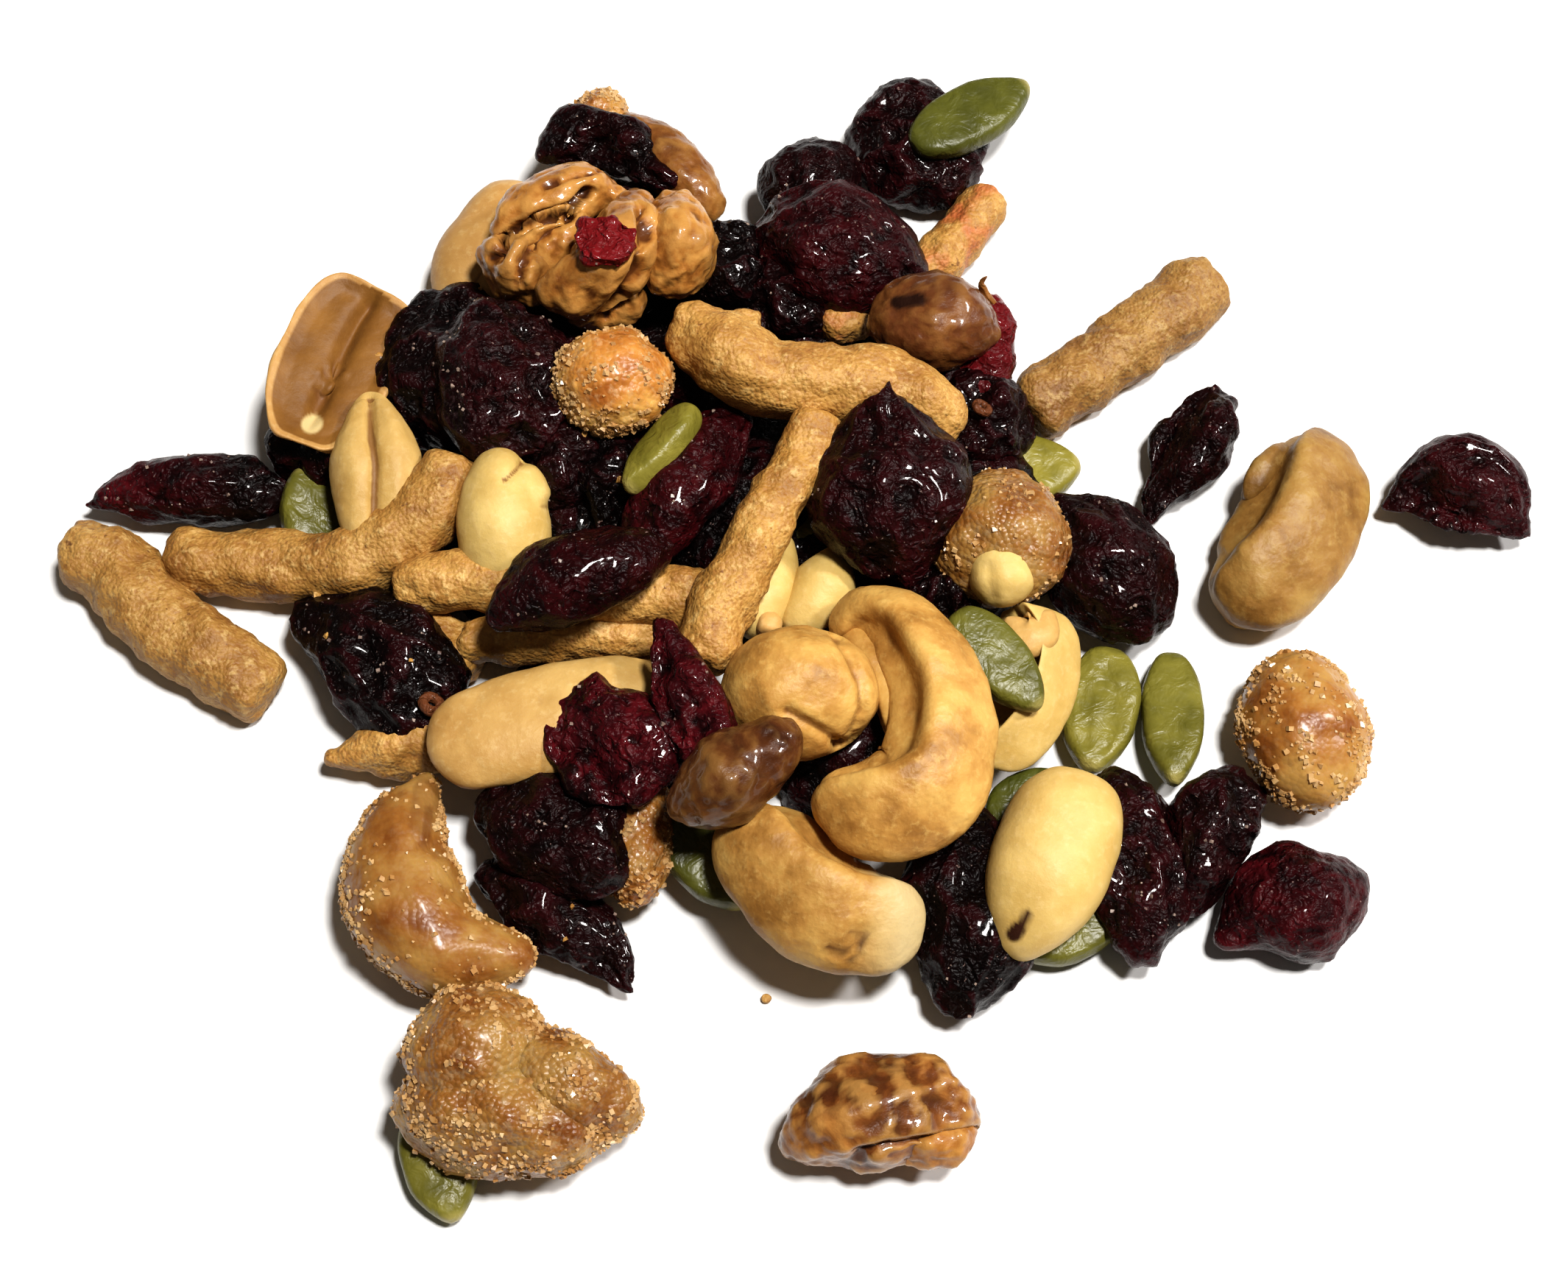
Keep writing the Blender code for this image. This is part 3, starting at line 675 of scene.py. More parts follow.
def lay_round_cashew():
    """The cashew that is seen end-on: a smooth dome."""
    dome = lay(nut_shape, "cashew_round", [(-7.4, -4.8, 12.2), (8.8, -5.0, 12.2)], 12.8, 12.8)
    press(dome, *CASHEW_RELIEF)
    score(dome, 0.7, 0.9, (4.2, 1.8), (5.7, -0.5), (6.9, -3.8), (7.0, -7.0), (5.9, -9.7), (4.6, -11.0))
    return score(dome, 0.6, 1.0, (-0.7, -7.0), (1.2, -8.2), (3.1, -9.4), (4.7, -10.7))

def add_cracks(nut):
    """Short cracks pressed into the pale end of the front cashew, darkened along them with painted shade."""
    for line in (((3.1, -32.0), (4.8, -32.4), (6.9, -31.4)), ((5.1, -33.4), (6.2, -32.7)),
                 ((5.6, -30.6), (7.7, -30.9))):
        score(nut, 0.5, 0.6, *line)
        # Painted shade along each crack.
        mark_spot(nut, "burnt", 0.42, *line, most=0.8)

heap_cashews = [lay_cashew(*nut) for nut in CASHEWS] + [lay_round_cashew()]
add_cracks(bpy.data.objects["cashew_front"])
finish_piece(heap_cashews, "cashews", roasted_cashew, "cashew", HEAP)
apart = [lay_cashew("cashew_apart", [(54.8, 24.8, 4.8, 0.66), (53.8, 20, 5, 0.94), (52.2, 14.6, 5, 1.04),
                                     (49.6, 10.2, 5, 1.04), (46.2, 7.6, 5, 0.95), (42.8, 6.8, 5, 0.7)],
                    10.8, 10.2, -30, 0, 0.38),
         lay_cashew("cashew_apart_flap", [(51.6, 23.2, 4.4, 0.6), (49.0, 20.0, 4.8, 1.0),
                                          (47.0, 16.8, 4.6, 0.6)],
                    2.8, 5.0, 0, 0, 0.5)]
finish_piece(apart, "cashew_apart", roasted_cashew, "cashew", "cashew_right")

# %% [markdown]
# ## Peanuts
#
# Roasted peanuts lie here whole, and split into halves that show their flat side with a groove
# down the middle. A whole one is a block softened to an egg with a slight waist. For a half we
# crease the edges of a block's top, so that the Subdivision Surface keeps the top flat and
# rounds only the rest, and we push the middle of the top down for the groove. The standing
# peanut, two broad halves and the chip start as the fine ball instead, which has enough points
# to take a groove drawn on later.

# %% Peanut shapes
def model_peanut():
    """A whole peanut, slightly narrower round its middle, with a small tip at one end."""
    nut = block("peanut_shape", (21, 11, 10.6), (3, 0, 0))
    resize_ring(nut, -10.5, 0.62, 0.62)
    resize_ring(nut, 0, 0.96, 0.96)
    resize_ring(nut, 10.5, 0.5, 0.5)
    select_faces(nut, lambda p, n: n.x > 0.9)
    bpy.ops.mesh.extrude_region_move(TRANSFORM_OT_translate={"value": (1.2 * MM, 0, 0)})
    bpy.ops.transform.resize(value=(1, 0.3, 0.3), center_override=(11.7 * MM, 0, 0))
    bpy.ops.object.mode_set(mode="OBJECT")
    soften(nut, 3)
    mark_form(nut)
    return nut

def model_half_peanut():
    """Half a peanut, its flat side up: a raised rim, a hollow face and a groove along the middle."""
    half = block("half_peanut_shape", (21, 11, 5.4), (4, 3, 0))
    pick(half)
    bpy.ops.object.mode_set(mode="EDIT")
    for side in (-0.9, 0.9):
        bpy.ops.mesh.select_all(action="SELECT")
        bpy.ops.mesh.bisect(plane_co=(0, side * MM, 0), plane_no=(0, 1, 0))
    select_points(half, lambda p: p.z < 0)
    bpy.ops.transform.resize(value=(0.8, 0.66, 1), center_override=(0, 0, -2.7 * MM))
    bpy.ops.object.mode_set(mode="OBJECT")
    resize_ring(half, 10.5, 0.62, 1)
    resize_ring(half, -10.5, 0.74, 1)
    pick(half)
    bpy.ops.object.mode_set(mode="EDIT")
    mesh = bmesh.from_edit_mesh(half.data)
    crease = mesh.edges.layers.float.new("crease_edge")
    for edge in mesh.edges:
        top = [face for face in edge.link_faces if face.normal.z > 0.9]
        edge[crease] = 0.45 if len(top) == 1 else 0.0
    bmesh.update_edit_mesh(half.data)
    select_faces(half, lambda p, n: n.z > 0.9)
    bpy.ops.mesh.inset(thickness=1.9 * MM, depth=0)
    bpy.ops.transform.translate(value=(0, 0, -0.9 * MM))
    bpy.ops.object.mode_set(mode="OBJECT")
    move_points(half, lambda p: 1 < p.z < 2.6 and abs(p.y) < 0.3 and -9 < p.x < 7, z=-2.0)
    soften(half, 3)
    mark_form(half)
    face = [float(v.normal.z > 0.5 and v.co.z < 2.35 * MM) for v in half.data.vertices]
    keep_tone(half, "face", face)
    return half

peanut_shape = model_peanut()
half_peanut_shape = model_half_peanut()
print("peanut", [round(side / MM, 1) for side in peanut_shape.dimensions], "mm")

# %% Roasted peanut finish
def peanut_finish():
    material, shader, where = new_finish("roasted_peanut", roughness=0.5, specular_ior_level=0.28,
                                         subsurface_weight=0.06, subsurface_radius=(0.9, 0.6, 0.2),
                                         subsurface_scale=0.0015)
    patches = speckle(material, where, 5.0, 4.0, 0.6)
    tan = ramp(material, patches, (0.3, (0.40, 0.20, 0.058)), (0.7, (0.55, 0.32, 0.11)))
    cream = ramp(material, patches, (0.3, (0.50, 0.33, 0.095)), (0.7, (0.62, 0.45, 0.165)))
    colour = toned(material, "cream", tan, cream)
    inside = ramp(material, patches, (0.3, (0.16, 0.066, 0.012)), (0.7, (0.27, 0.125, 0.026)))
    inside = toned(material, "cream", inside, cream)
    fine = speckle(material, where, 0.9, 5.0, 0.65)
    colour = blend_colours(material, ramp(material, fine, (0.52, 0.0), (0.72, 0.35)),
                           colour, (0.70, 0.52, 0.25))
    colour = toned(material, "face", colour, inside)
    # Painted shade: the peanut is darker in its hollows and grooves.
    colour = shade_hollows(material, 0.57, 0.85, 0.85, colour, (0.17, 0.070, 0.018))
    colour = toned(material, "pale", colour, (0.62, 0.47, 0.22))
    colour = toned(material, "burnt", colour, (0.035, 0.010, 0.004))
    link(material, shaded(material, colour), shader.inputs["Base Color"])
    link(material, bump(material, fine, 0.08), shader.inputs["Normal"])
    return material

roasted_peanut = peanut_finish()
print("finish", roasted_peanut.name)

# %% The peanuts
PEANUTS = [
    ("right", peanut_shape, [(29.0, -13.8, 8, 0.95), (25.2, -23.6, 8, 1.02), (21.2, -33.0, 7, 0.86)],
     11.8, 11.4, 0, 0.9),
    ("upright", nut_shape, [(-31.0, 22.9, 11.6, 0.86), (-30.6, 18.4, 11.2, 0.98), (-30.0, 12.6, 9.8, 1.04),
                            (-29.8, 5.0, 7, 1.0)], 9.0, 9.2, 0, 0.95),
    ("half_upper_left", half_peanut_shape, [(-44.6, 40.9, 7.8, 0.98), (-46.4, 37.5, 8, 0.98),
                                            (-48.8, 31.2, 8.4, 0.98), (-51.8, 22.4, 9, 0.82)],
     12.6, 5.5, -8, 0.0, 0.12),
    ("half_left", nut_shape, [(-45.0, 29.6, 11, 0.8), (-43.8, 22, 9.8, 1.05), (-43.4, 10, 8, 0.95)],
     9.0, 6.5, 0, 0.6, 0.1),
    ("half_middle", nut_shape, [(-36.8, -11.4, 9.3, 1.5), (-30.6, -9.6, 9.6, 1.15), (-25, -8.0, 9.8, 1.05),
                                (-12, -3.4, 9.3, 1.0)], 10.8, 5, 0, (0.2, 0.6), 0.08),
    ("half_on_edge", half_peanut_shape, [(24.4, 5.0, 8, 0.9), (25.6, -1.0, 6.5, 1), (23.4, -8, 6, 1),
                                         (18.4, -13.6, 5, 0.8)], 7.4, 6, 60, 0.9),
    ("back", peanut_shape, [(-27, 53.6, 5), (-36.6, 38.4, 4.5)], 12.8, 10, 0, 0.1),
    ("split_left", peanut_shape, [(-4.4, 1, 7, 0.9), (-2.8, 6, 7.5, 1.1), (-0.6, 12.6, 8, 0.7)],
     5.4, 6, 0, 1.0),
    ("split_right", peanut_shape, [(-0.4, 1.4, 7, 0.8), (3.2, 7, 7.5, 1.1), (4.6, 11.6, 8, 0.7)],
     6.0, 6, 0, 1.0),
    ("split_nub", peanut_shape, [(-2.6, 1.4, 9), (-2.2, 4, 9)], 2.4, 2.4, 0, 0.2),
    ("kernel", peanut_shape, [(21.4, 11.4, 12.4), (21.3, 4.6, 11.6)], 6.4, 6.6, 0, 1.0),
    ("chip", nut_shape, [(21.6, 3.4, 9.8, 0.7), (24.0, 1.4, 10, 1.2), (26.6, 4.0, 9.8, 0.7)],
     4.2, 2.6, 0, 0.3),
]
PEANUT_RELIEF = ((LUMPS_LARGE, 0.5), (LUMPS, 0.3), (LUMPS_SMALL, 0.08))

PEANUT_SPOTS = [
    ("peanut_right", "burnt", 0.95, (21.5, -30.6), (21.9, -30.1)),
    ("peanut_right", "burnt", 0.6, (22.2, -29.8), (22.9, -28.5)),
    ("peanut_half_upper_left", "pale", 1.3, (-50.7, 25.8)),
]
PEANUT_GROOVES = [
    ("peanut_upright", 0.35, 0.7, (-27.6, 22.6), (-28.8, 20.6), (-30.2, 19.2)),
    ("peanut_upright", -0.9, 1.5, (-27.0, 20.4), (-26.0, 17.6)),
    ("peanut_half_left", 0.7, 2.6, (-44.6, 29.6), (-44.5, 24.8), (-43.6, 20.0), (-43.2, 8.0)),
    ("peanut_half_left", 0.5, 0.8, (-44.8, 29.0), (-44.5, 24.8), (-43.8, 21.0), (-43.6, 15.0)),
    ("peanut_back", 0.4, 0.8, (-36, 40), (-30, 50)),
    ("peanut_kernel", 0.35, 1.0, (20.0, 9.2), (20.4, 5.6)),
]
RIDGE_TIPS = [(-51.0, 30.9), (-50.5, 32.1), (-49.4, 32.9), (-48.4, 32.7), (-47.3, 31.9)]
for side, tip in enumerate(RIDGE_TIPS, -2):
    root = (-49.4 + 0.1 * side, 29.4 + 0.3 * abs(side))
    PEANUT_GROOVES.append(("peanut_half_upper_left", -0.35, 0.5, root, tip))

def lay_peanut(name, shape, places, width, thick, roll, cream, shade=0):
    return press(lay(shape, "peanut_" + name, places, width, thick, roll, cream=cream, shade=shade),
                 *PEANUT_RELIEF)

heap_peanuts = [lay_peanut(*nut) for nut in PEANUTS]
soften(bpy.data.objects["peanut_right"], 1)
for name, *groove in PEANUT_GROOVES:
    score(bpy.data.objects[name], *groove)
for name, *spot in PEANUT_SPOTS:
    mark_spot(bpy.data.objects[name], *spot)
finish_piece(heap_peanuts, "peanuts", roasted_peanut, "peanut", HEAP)

# %% [markdown]
# ## Pumpkin seeds
#
# A shelled pumpkin seed is a flat olive-green almond with one pale pointed tip and a fine rim
# round its edge. A scaled sphere has no rim. We inset the top and bottom of a flat block, lift
# what is left inside, draw one end to a tip and round it all.

# %% Seed shape
def model_seed():
    """A flat seed whose tip points along +X."""
    seed = block("seed_shape", (13, 7, 2.0), (3, 1, 0))
    resize_ring(seed, -6.5, 0.5, 0.8)
    resize_ring(seed, 3.25, 0.92, 1.0)
    resize_ring(seed, 6.5, 0.24, 0.8)
    for side in (1, -1):
        select_faces(seed, lambda p, n: n.z * side > 0.7)
        bpy.ops.mesh.inset(thickness=0.7 * MM, depth=0)
        bpy.ops.transform.translate(value=(0, 0, side * 0.6 * MM))
        bpy.ops.object.mode_set(mode="OBJECT")
    soften(seed, 2)
    mark_form(seed)
    return seed

seed_shape = model_seed()
print("seed", [round(side / MM, 1) for side in seed_shape.dimensions], "mm")

# %% Green seed finish
def seed_finish():
    material, shader, where = new_finish("green_seed", roughness=0.36, specular_ior_level=0.35)
    patches = speckle(material, where, 4.0, 3.0)
    dark = ramp(material, patches, (0.3, (0.034, 0.038, 0.006)), (0.7, (0.080, 0.084, 0.012)))
    light = ramp(material, patches, (0.3, (0.150, 0.130, 0.017)), (0.7, (0.270, 0.228, 0.042)))
    colour = toned(material, "pale", dark, light)
    form = node(material, "ShaderNodeSeparateXYZ", {"Vector": own(material, "form").outputs["Vector"]})
    tip = ramp(material, form.outputs["X"], (0.84, 0.0), (0.97, 0.7))
    colour = blend_colours(material, tip, colour, (0.36, 0.30, 0.10))
    link(material, colour, shader.inputs["Base Color"])
    fine = speckle(material, where, 0.7, 4.0)
    wrinkles = speckle(material, where, 2.2, 3.0, 0.55, 0.6)
    link(material, bump(material, fine, 0.06, bump(material, wrinkles, 0.4)), shader.inputs["Normal"])
    return material

green_seed = seed_finish()
print("finish", green_seed.name)

# %% The seeds
SEED_THICK = 3.0
SEEDS = [
    ("left", [(-47.2, 8, 2.5), (-51.6, 20.6, 5)], 7.4, 15, 0.35),
    ("middle", [(-10.4, 27.8, 13.5), (-17.4, 18, 13.5)], 4.6, 35, 0.8),
    ("right_back", [(17, 19.4, 3), (30, 20.8, 2.5)], 8.2, 0, 1.0),
    ("right_flat", [(32.2, -0.2, 2.6), (29.6, -13.6, 3.5)], 7.8, 0, 0.7),
    ("right_end", [(38.3, -0.8, 1.6), (38, -15, 4)], 6.3, 0, 0.5),
    ("top_right", [(16.6, 4, 12.5), (24.8, -6.8, 11)], 6.4, 0, 0.25),
    ("low_front", [(-12.4, -18.6, 5.5), (-5, -27.8, 4.5)], 6.4, 0, 0.1),
    ("under_peanut", [(32.4, -26.6, 3), (22, -32.8, 2.5)], 7, 0, 0.3),
    ("dark", [(19.6, -19.4, 3.5), (26.6, -14, 3.5)], 6, 0, 0.0),
    ("front", [(-35.4, -47.4, 3), (-32, -59, 1.8)], 7.2, 0, 0.5),
    ("hidden", [(-1.4, 12, 6), (4, 19, 6)], 6, 0, 0.2),
]

def lay_seed(name, places, width, roll=0, pale=0.5):
    return press(lay(seed_shape, name, places, width, SEED_THICK, roll, pale=pale), (LUMPS, 0.35))

heap_seeds = [lay_seed(*seed) for seed in SEEDS]
for line in (((31.6, -2.4), (29.4, -6), (29.2, -10.6)), ((31.6, -2.4), (33.2, -6), (31.6, -10.8)),
             ((32.4, -4.6), (31.2, -8), (31.0, -11))):
    score(bpy.data.objects["right_flat"], 0.3, 0.7, *line)
finish_piece(heap_seeds, "pumpkin_seeds", green_seed, "pumpkin_seed", HEAP)
finish_piece([lay_seed("on_berry", [(13.2, 60.2, 8.4), (26, 68.2, 7.4)], 7.2, 0, 0.1)],
             "pumpkin_seed_on_berry", green_seed, "pumpkin_seed", "berry_top_right")

# %% [markdown]
# ## Dried cranberries
#
# A dried cranberry is a burgundy skin, nearly black where it is thick, red where light comes
# through, folded and shrunk into sharp wrinkles with many small highlights. A ball of even
# squares takes wrinkles well from any side. We start with a short one and press dents into it
# before it is stretched, so that the folds run along it. Folded pieces start as a ball pressed
# flat and bent.

# %% Berry shapes
def model_folded_berry():
    """A ball pressed flat, whose long edges curl up."""
    sheet = model_ball("folded_berry_shape", 24, (5, 5, 4))
    sheet.scale = (1, 1.3, 0.5)
    bpy.ops.object.transform_apply(location=False, rotation=False, scale=True)
    curl = sheet.modifiers.new("curl", "SIMPLE_DEFORM")
    curl.deform_method = "BEND"
    curl.deform_axis = "X"
    curl.angle = math.radians(-75)
    apply_all(sheet)
    return sheet

berry_shape = model_ball("berry_shape", 27, (5, 5, 4))
folded_berry_shape = model_folded_berry()
print("berry", [round(side / MM, 1) for side in berry_shape.dimensions], "mm")

# %% Berry skin finish
def berry_finish():
    material, shader, where = new_finish("berry_skin", roughness=0.38, coat_weight=0.26,
                                         coat_roughness=0.07, coat_ior=1.4, specular_ior_level=0.10)
    patches = speckle(material, where, 3.5, 4.0, 0.6, 0.8)
    dark = ramp(material, patches, (0.42, (0.0020, 0.0006, 0.0006)), (0.75, (0.008, 0.0014, 0.0016)))
    red = ramp(material, patches, (0.35, (0.012, 0.001, 0.002)), (0.75, (0.110, 0.006, 0.010)))
    colour = toned(material, "red", dark, red)
    # Painted light: the thin ridges are lighter and redder, as if light shone through them.
    ridge = ramp(material, own(material, "hollow").outputs["Fac"], (0.04, 0.35), (0.28, 0.0))
    colour = blend_colours(material, ridge, colour, (0.040, 0.004, 0.006))
    # Painted shade: the skin is nearly black in its folds.
    colour = shade_hollows(material, 0.55, 0.85, 0.85, colour, (0.003, 0.001, 0.001))
    dust = speckle(material, where, 0.5, 5.0, 0.7)
    dusty = blend_colours(material, 1.0, ramp(material, dust, (0.52, 0.0), (0.72, 0.5)),
                          own(material, "dust").outputs["Color"], "MULTIPLY")
    colour = blend_colours(material, dusty, colour, (0.070, 0.038, 0.040))
    # Painted glow: thin skin turns bright red, for light that shines through it.
    colour = toned(material, "bright", colour, (0.24, 0.012, 0.014))
    flecks = ramp(material, speckle(material, where, 0.42, 1.0), (0.72, 0.0), (0.76, 0.6))
    colour = blend_colours(material, flecks, colour, (0.24, 0.16, 0.14))
    colour = toned(material, "brown", colour, (0.13, 0.045, 0.018))
    link(material, colour, shader.inputs["Base Color"])
    wrinkle = ramp(material, speckle(material, where, 2.6, 2.0, 0.5, 0.6), (0.3, 0.0), (0.5, 1.0), (0.7, 0.0))
    small = ramp(material, speckle(material, where, 1.0, 2.0, 0.5, 0.5), (0.3, 0.0), (0.5, 1.0), (0.7, 0.0))
    fine = speckle(material, where, 0.30, 3.0)
    relief_below = bump(material, small, 0.14, bump(material, wrinkle, 0.28))
    link(material, bump(material, fine, 0.025, relief_below), shader.inputs["Normal"])
    return material

berry_skin = berry_finish()
print("finish", berry_skin.name)

# %% The berries in the heap
BERRY_FOLDS = ((LUMPS_LARGE, 2.2), (DENTS, -3.4), (DENTS_SMALL, -0.7))
SHEET_FOLDS = ((LUMPS_LARGE, 2.4), (DENTS, -2.4), (DENTS_SMALL, -0.5), (WRINKLES, 0.3))
BERRY_RELIEF = ((LUMPS_LARGE, 1.2), (LUMPS_SMALL, 0.45))
BERRIES = [
    ("left_end", [(-73.8, 16.6, 3.2, 0.35), (-68, 17.8, 3.4, 0.85), (-60, 18, 3.6, 1),
                  (-52.2, 17.2, 3.8, 0.95)],
     7.6, 7.2, (1.1, -0.3), 0.3, 0.6),
    ("under_half", [(-55, 24, 3.6), (-42, 20.5, 4)], 8.5, 7.5, 0.1, 0),
    ("dark_left", [(-34.6, 42.6, 6.5), (-39.4, 23, 7)], 12.5, 10, 0, 0.3),
    ("dusty", [(-32.6, 40.2, 12), (-29, 21.2, 11)], 13.4, 9.5, 0.15, 1.0, 0.9),
    ("crumbed", [(-26, 27, 9), (-22.8, 15, 8)], 8, 8, 0.1, 0.8),
    ("bluish_back", [(-8, 50.4, 7.5), (-6.6, 39, 7.5)], 8, 8, 0, 0.2),
    ("back_small", [(-4.5, 47.2, 5.5), (1.5, 36, 7)], 8, 7.5, 0.05, 0.2),
    ("back_round", [(-3.6, 54, 6.5), (7.4, 56, 6)], 9.8, 9, 0.1, 0.2, 0.5),
    ("back_large", [(-4.6, 49.8, 8.5, 0.75), (3, 48, 9, 1.05), (9, 44.6, 8.5, 0.95), (13.8, 40.6, 8, 0.6)],
     13.4, 10, 0.4, 0.4, 0.8),
    ("scarred", [(15.8, 32, 6), (22.2, 20.6, 5)], 9.4, 8, 0.1, 0.1),
    ("long_dark", [(-5.6, 28, 10, 0.8), (-10.6, 20, 10.5, 1), (-16.4, 10.6, 11, 0.9)],
     8.8, 7.5, 0.5, 0.3, 0.5),
    ("raisin", [(-20.2, 26, 8), (-19.2, 12, 8)], 7, 7.5, 0, 0.1),
    ("glossy_top", [(-31.4, 2.8, 14.5, 0.8), (-25.6, 6.6, 15, 1.02), (-18, 9.6, 15.4, 0.95),
                    (-12, 11.4, 15, 0.8)],
     8.8, 7.5, 0.25, 0, 0.22),
    ("ringed", [(-51.6, 5.0, 4.6, 0.8), (-44.7, 1.1, 4.8, 1), (-34.4, -8.6, 5.4, 1.2)],
     11.4, 9, 0.0, 0.1, 0.9),
    ("right_large", [(26.2, 17.0, 6, 0.8), (32.4, 8.5, 6, 1.02), (36.4, 0.8, 5.5, 0.85)],
     12.2, 11, 0.12, 0.3, 0.6),
    ("black_small", [(11.2, 7.4, 7), (18.4, 2.4, 7)], 6.5, 6.5, 0, 0),
    ("dark_shelf", [(-31, -15.8, 6), (-15.8, -24.4, 8)], 10.6, 9, 0.1, 0.3, 0.8),
    ("pointed_low", [(-30.8, -23.6, 4, 0.9), (-24.6, -27.6, 4, 0.95), (-19.6, -31.4, 3.4, 0.7),
                     (-15.6, -36.4, 2.6, 0.3)], 8.8, 7, 0.1, 0.3),
    ("flat_front", [(17.2, -17.2, 5, 0.7), (17.2, -26, 5, 0.95), (15.4, -39.8, 4, 0.85)],
     14, 8, 0.0, 0.1, 0.8),
    ("right_low", [(30.4, -13.6, 4.6, 0.8), (33, -20, 4.6, 0.9), (34.2, -27, 4.6, 1.0),
                   (34.0, -33.8, 4, 0.7)],
     10.0, 8.6, 0.2, 0.3, 0.8),
    ("right_twin", [(46.8, -14.6, 4.6, 0.8), (42, -18.4, 4.8, 1.05), (38.6, -28.6, 4.4, 0.8)],
     7.6, 8.4, 0.15, 0.3, 0.8),
    ("under_sugared", [(-25, 25, 7), (-11, 26, 7)], 8, 7.5, 0.1, 0),
    ("under_stick", [(-14, 31.6, 8), (-3, 28.6, 7)], 8, 7.5, 0.1, 0),
    ("large_pointed", [(9.6, 31.0, 18.0, 0.45), (9.5, 27.6, 16.6, 0.62), (9.8, 22, 14, 1.0),
                       (10.4, 14, 12, 1.08), (11, 6.5, 10, 0.7)], 15.5, 11, 0.2, 0.2, 0.7),
]
FOLDED_BERRIES = [
    ("curled_back", [(-28, 58.6, 9, 0.8), (-22, 61.0, 9.4, 1), (-12.6, 55.2, 9.4, 0.8)],
     7.0, 4.0, 0.1, 0.1, 0),
    ("red_edged", [(19.8, 41.6, 7), (19.2, 27.6, 8)], 7.8, 5.5, 0.9, 0.2, (0.45, 0.1)),
    ("red_sheet", [(-23.4, -5, 12), (-14, -16.2, 12)], 11.5, 5, 0.9, 0.3, 0),
    ("red_point", [(-13.6, 3, 15.4, 0.3), (-11.4, -4, 14.6, 0.9), (-7.6, -13.8, 14, 1)],
     7.8, 5.0, 0.9, 0.2, 0),
]

def lay_berry(name, places, width, thick, red, dust, strength=1.0):
    folds = [(texture, depth * strength) for texture, depth in BERRY_FOLDS]
    return press(lay(berry_shape, name, places, width, thick, folds=folds, red=red, dust=dust), *BERRY_RELIEF)

def lay_folded_berry(name, places, width, thick, red, dust, bright=0.0):
    return press(lay(folded_berry_shape, name, places, width, thick, folds=SHEET_FOLDS, red=red, dust=dust,
                     bright=bright), *BERRY_RELIEF)

def model_scrap():
    """A flat scrap of skin with ragged corners."""
    scrap = block("scrap_shape", (6, 5, 0.9), (2, 1, 0))
    resize_ring(scrap, -3, 0.5, 1)
    resize_ring(scrap, 1, 1.1, 1)
    resize_ring(scrap, 3, 0.42, 1)
    move_points(scrap, lambda p: p.y < -2 and abs(p.x) < 1.5, y=-1.4)
    soften(scrap, 3, "SIMPLE")
    mark_form(scrap)
    return scrap

scrap_shape = model_scrap()

def lay_red_bit():
    """The flat red scrap on the walnut."""
    bit = lay(scrap_shape, "bit_on_walnut", [(-23.2, 49.4, 20.0, 1.1), (-20.4, 48.6, 20.6, 1.1),
                                             (-17.2, 48.6, 20.0, 1.0)], 4.6, 1.0, red=1, dust=0, bright=0.5)
    return press(bit, (LUMPS, 2.0), (LUMPS_SMALL, 1.0))

BLACK_BELOW = 0.15

def is_black(berry):
    """Whether a berry of the list has so little red that it counts as black."""
    red = berry[4]
    return not isinstance(red, tuple) and red < BLACK_BELOW

RING_MIDDLE = 0.34
RING_THICK = 0.22
RING_BROWN = 0.9

def add_scar(name, spot, width):
    """The small brown ring that a berry keeps where its blossom was."""
    deselect_all()
    bpy.ops.mesh.primitive_torus_add(major_segments=28, minor_segments=10,
                                     major_radius=width * RING_MIDDLE * MM,
                                     minor_radius=width * RING_THICK * MM, location=seen(*spot) * MM,
                                     rotation=(math.radians(-20), math.radians(25), 0))
    ring = bpy.context.object
    ring.name = name
    bpy.ops.object.transform_apply(location=True, rotation=True, scale=True)
    keep_tone(ring, "brown", np.full(len(ring.data.vertices), RING_BROWN))
    return press(ring, (LUMPS_SMALL, 0.3))

scars = [add_scar("scar_left", (-36.6, -6.2, 8.4), 2.6), add_scar("scar_right", (19.9, 27.7, 10.4), 2.0)]
black_berries = finish_piece([lay_berry(*berry) for berry in BERRIES if is_black(berry)] + scars,
                             "black_berries", berry_skin, "dried_cranberry", HEAP)
red_berries = finish_piece([lay_berry(*berry) for berry in BERRIES if not is_black(berry)]
                           + [lay_folded_berry(*berry) for berry in FOLDED_BERRIES] + [lay_red_bit()],
                           "dried_cranberries", berry_skin, "dried_cranberry", HEAP)

# %% The berries beside the heap
BERRIES_BESIDE = [
    ("cranberry_top_right", "berry_top_right", lay_berry,
     [(7, 64.6, 4), (20.4, 56.2, 4)], 13.4, 8.4, 0.15, 0.2),
    ("cranberry_right", "berry_right", lay_folded_berry,
     [(46, 29.4, 3.8, 1.15), (42, 23.8, 3.6, 1.1), (36.6, 14.4, 3.0, 0.35)], 7.4, 5.6, 0.1, 0.2),
    ("cranberry_far_right", "berry_far_right", lay_folded_berry,
     [(61.2, 15.8, 2.6, 0.35), (66, 18, 4.2, 1.0), (71, 17.4, 4.4, 1.15), (76, 12.6, 3, 0.4)],
     9.4, 5.4, 0.35, 0.3),
    ("cranberry_lower_right", "berry_lower_right", lay_berry,
     [(41.4, -31.6, 3.2, 0.4), (46, -28.6, 3.8, 0.95), (51, -27, 4, 1.05), (56.6, -26, 3.8, 0.85)],
     11.6, 8.2, 0.6, 0.1, 0.3),
]
for name, node_name, maker, *form in BERRIES_BESIDE:
    finish_piece([maker(name, *form)], name, berry_skin, "dried_cranberry", node_name)

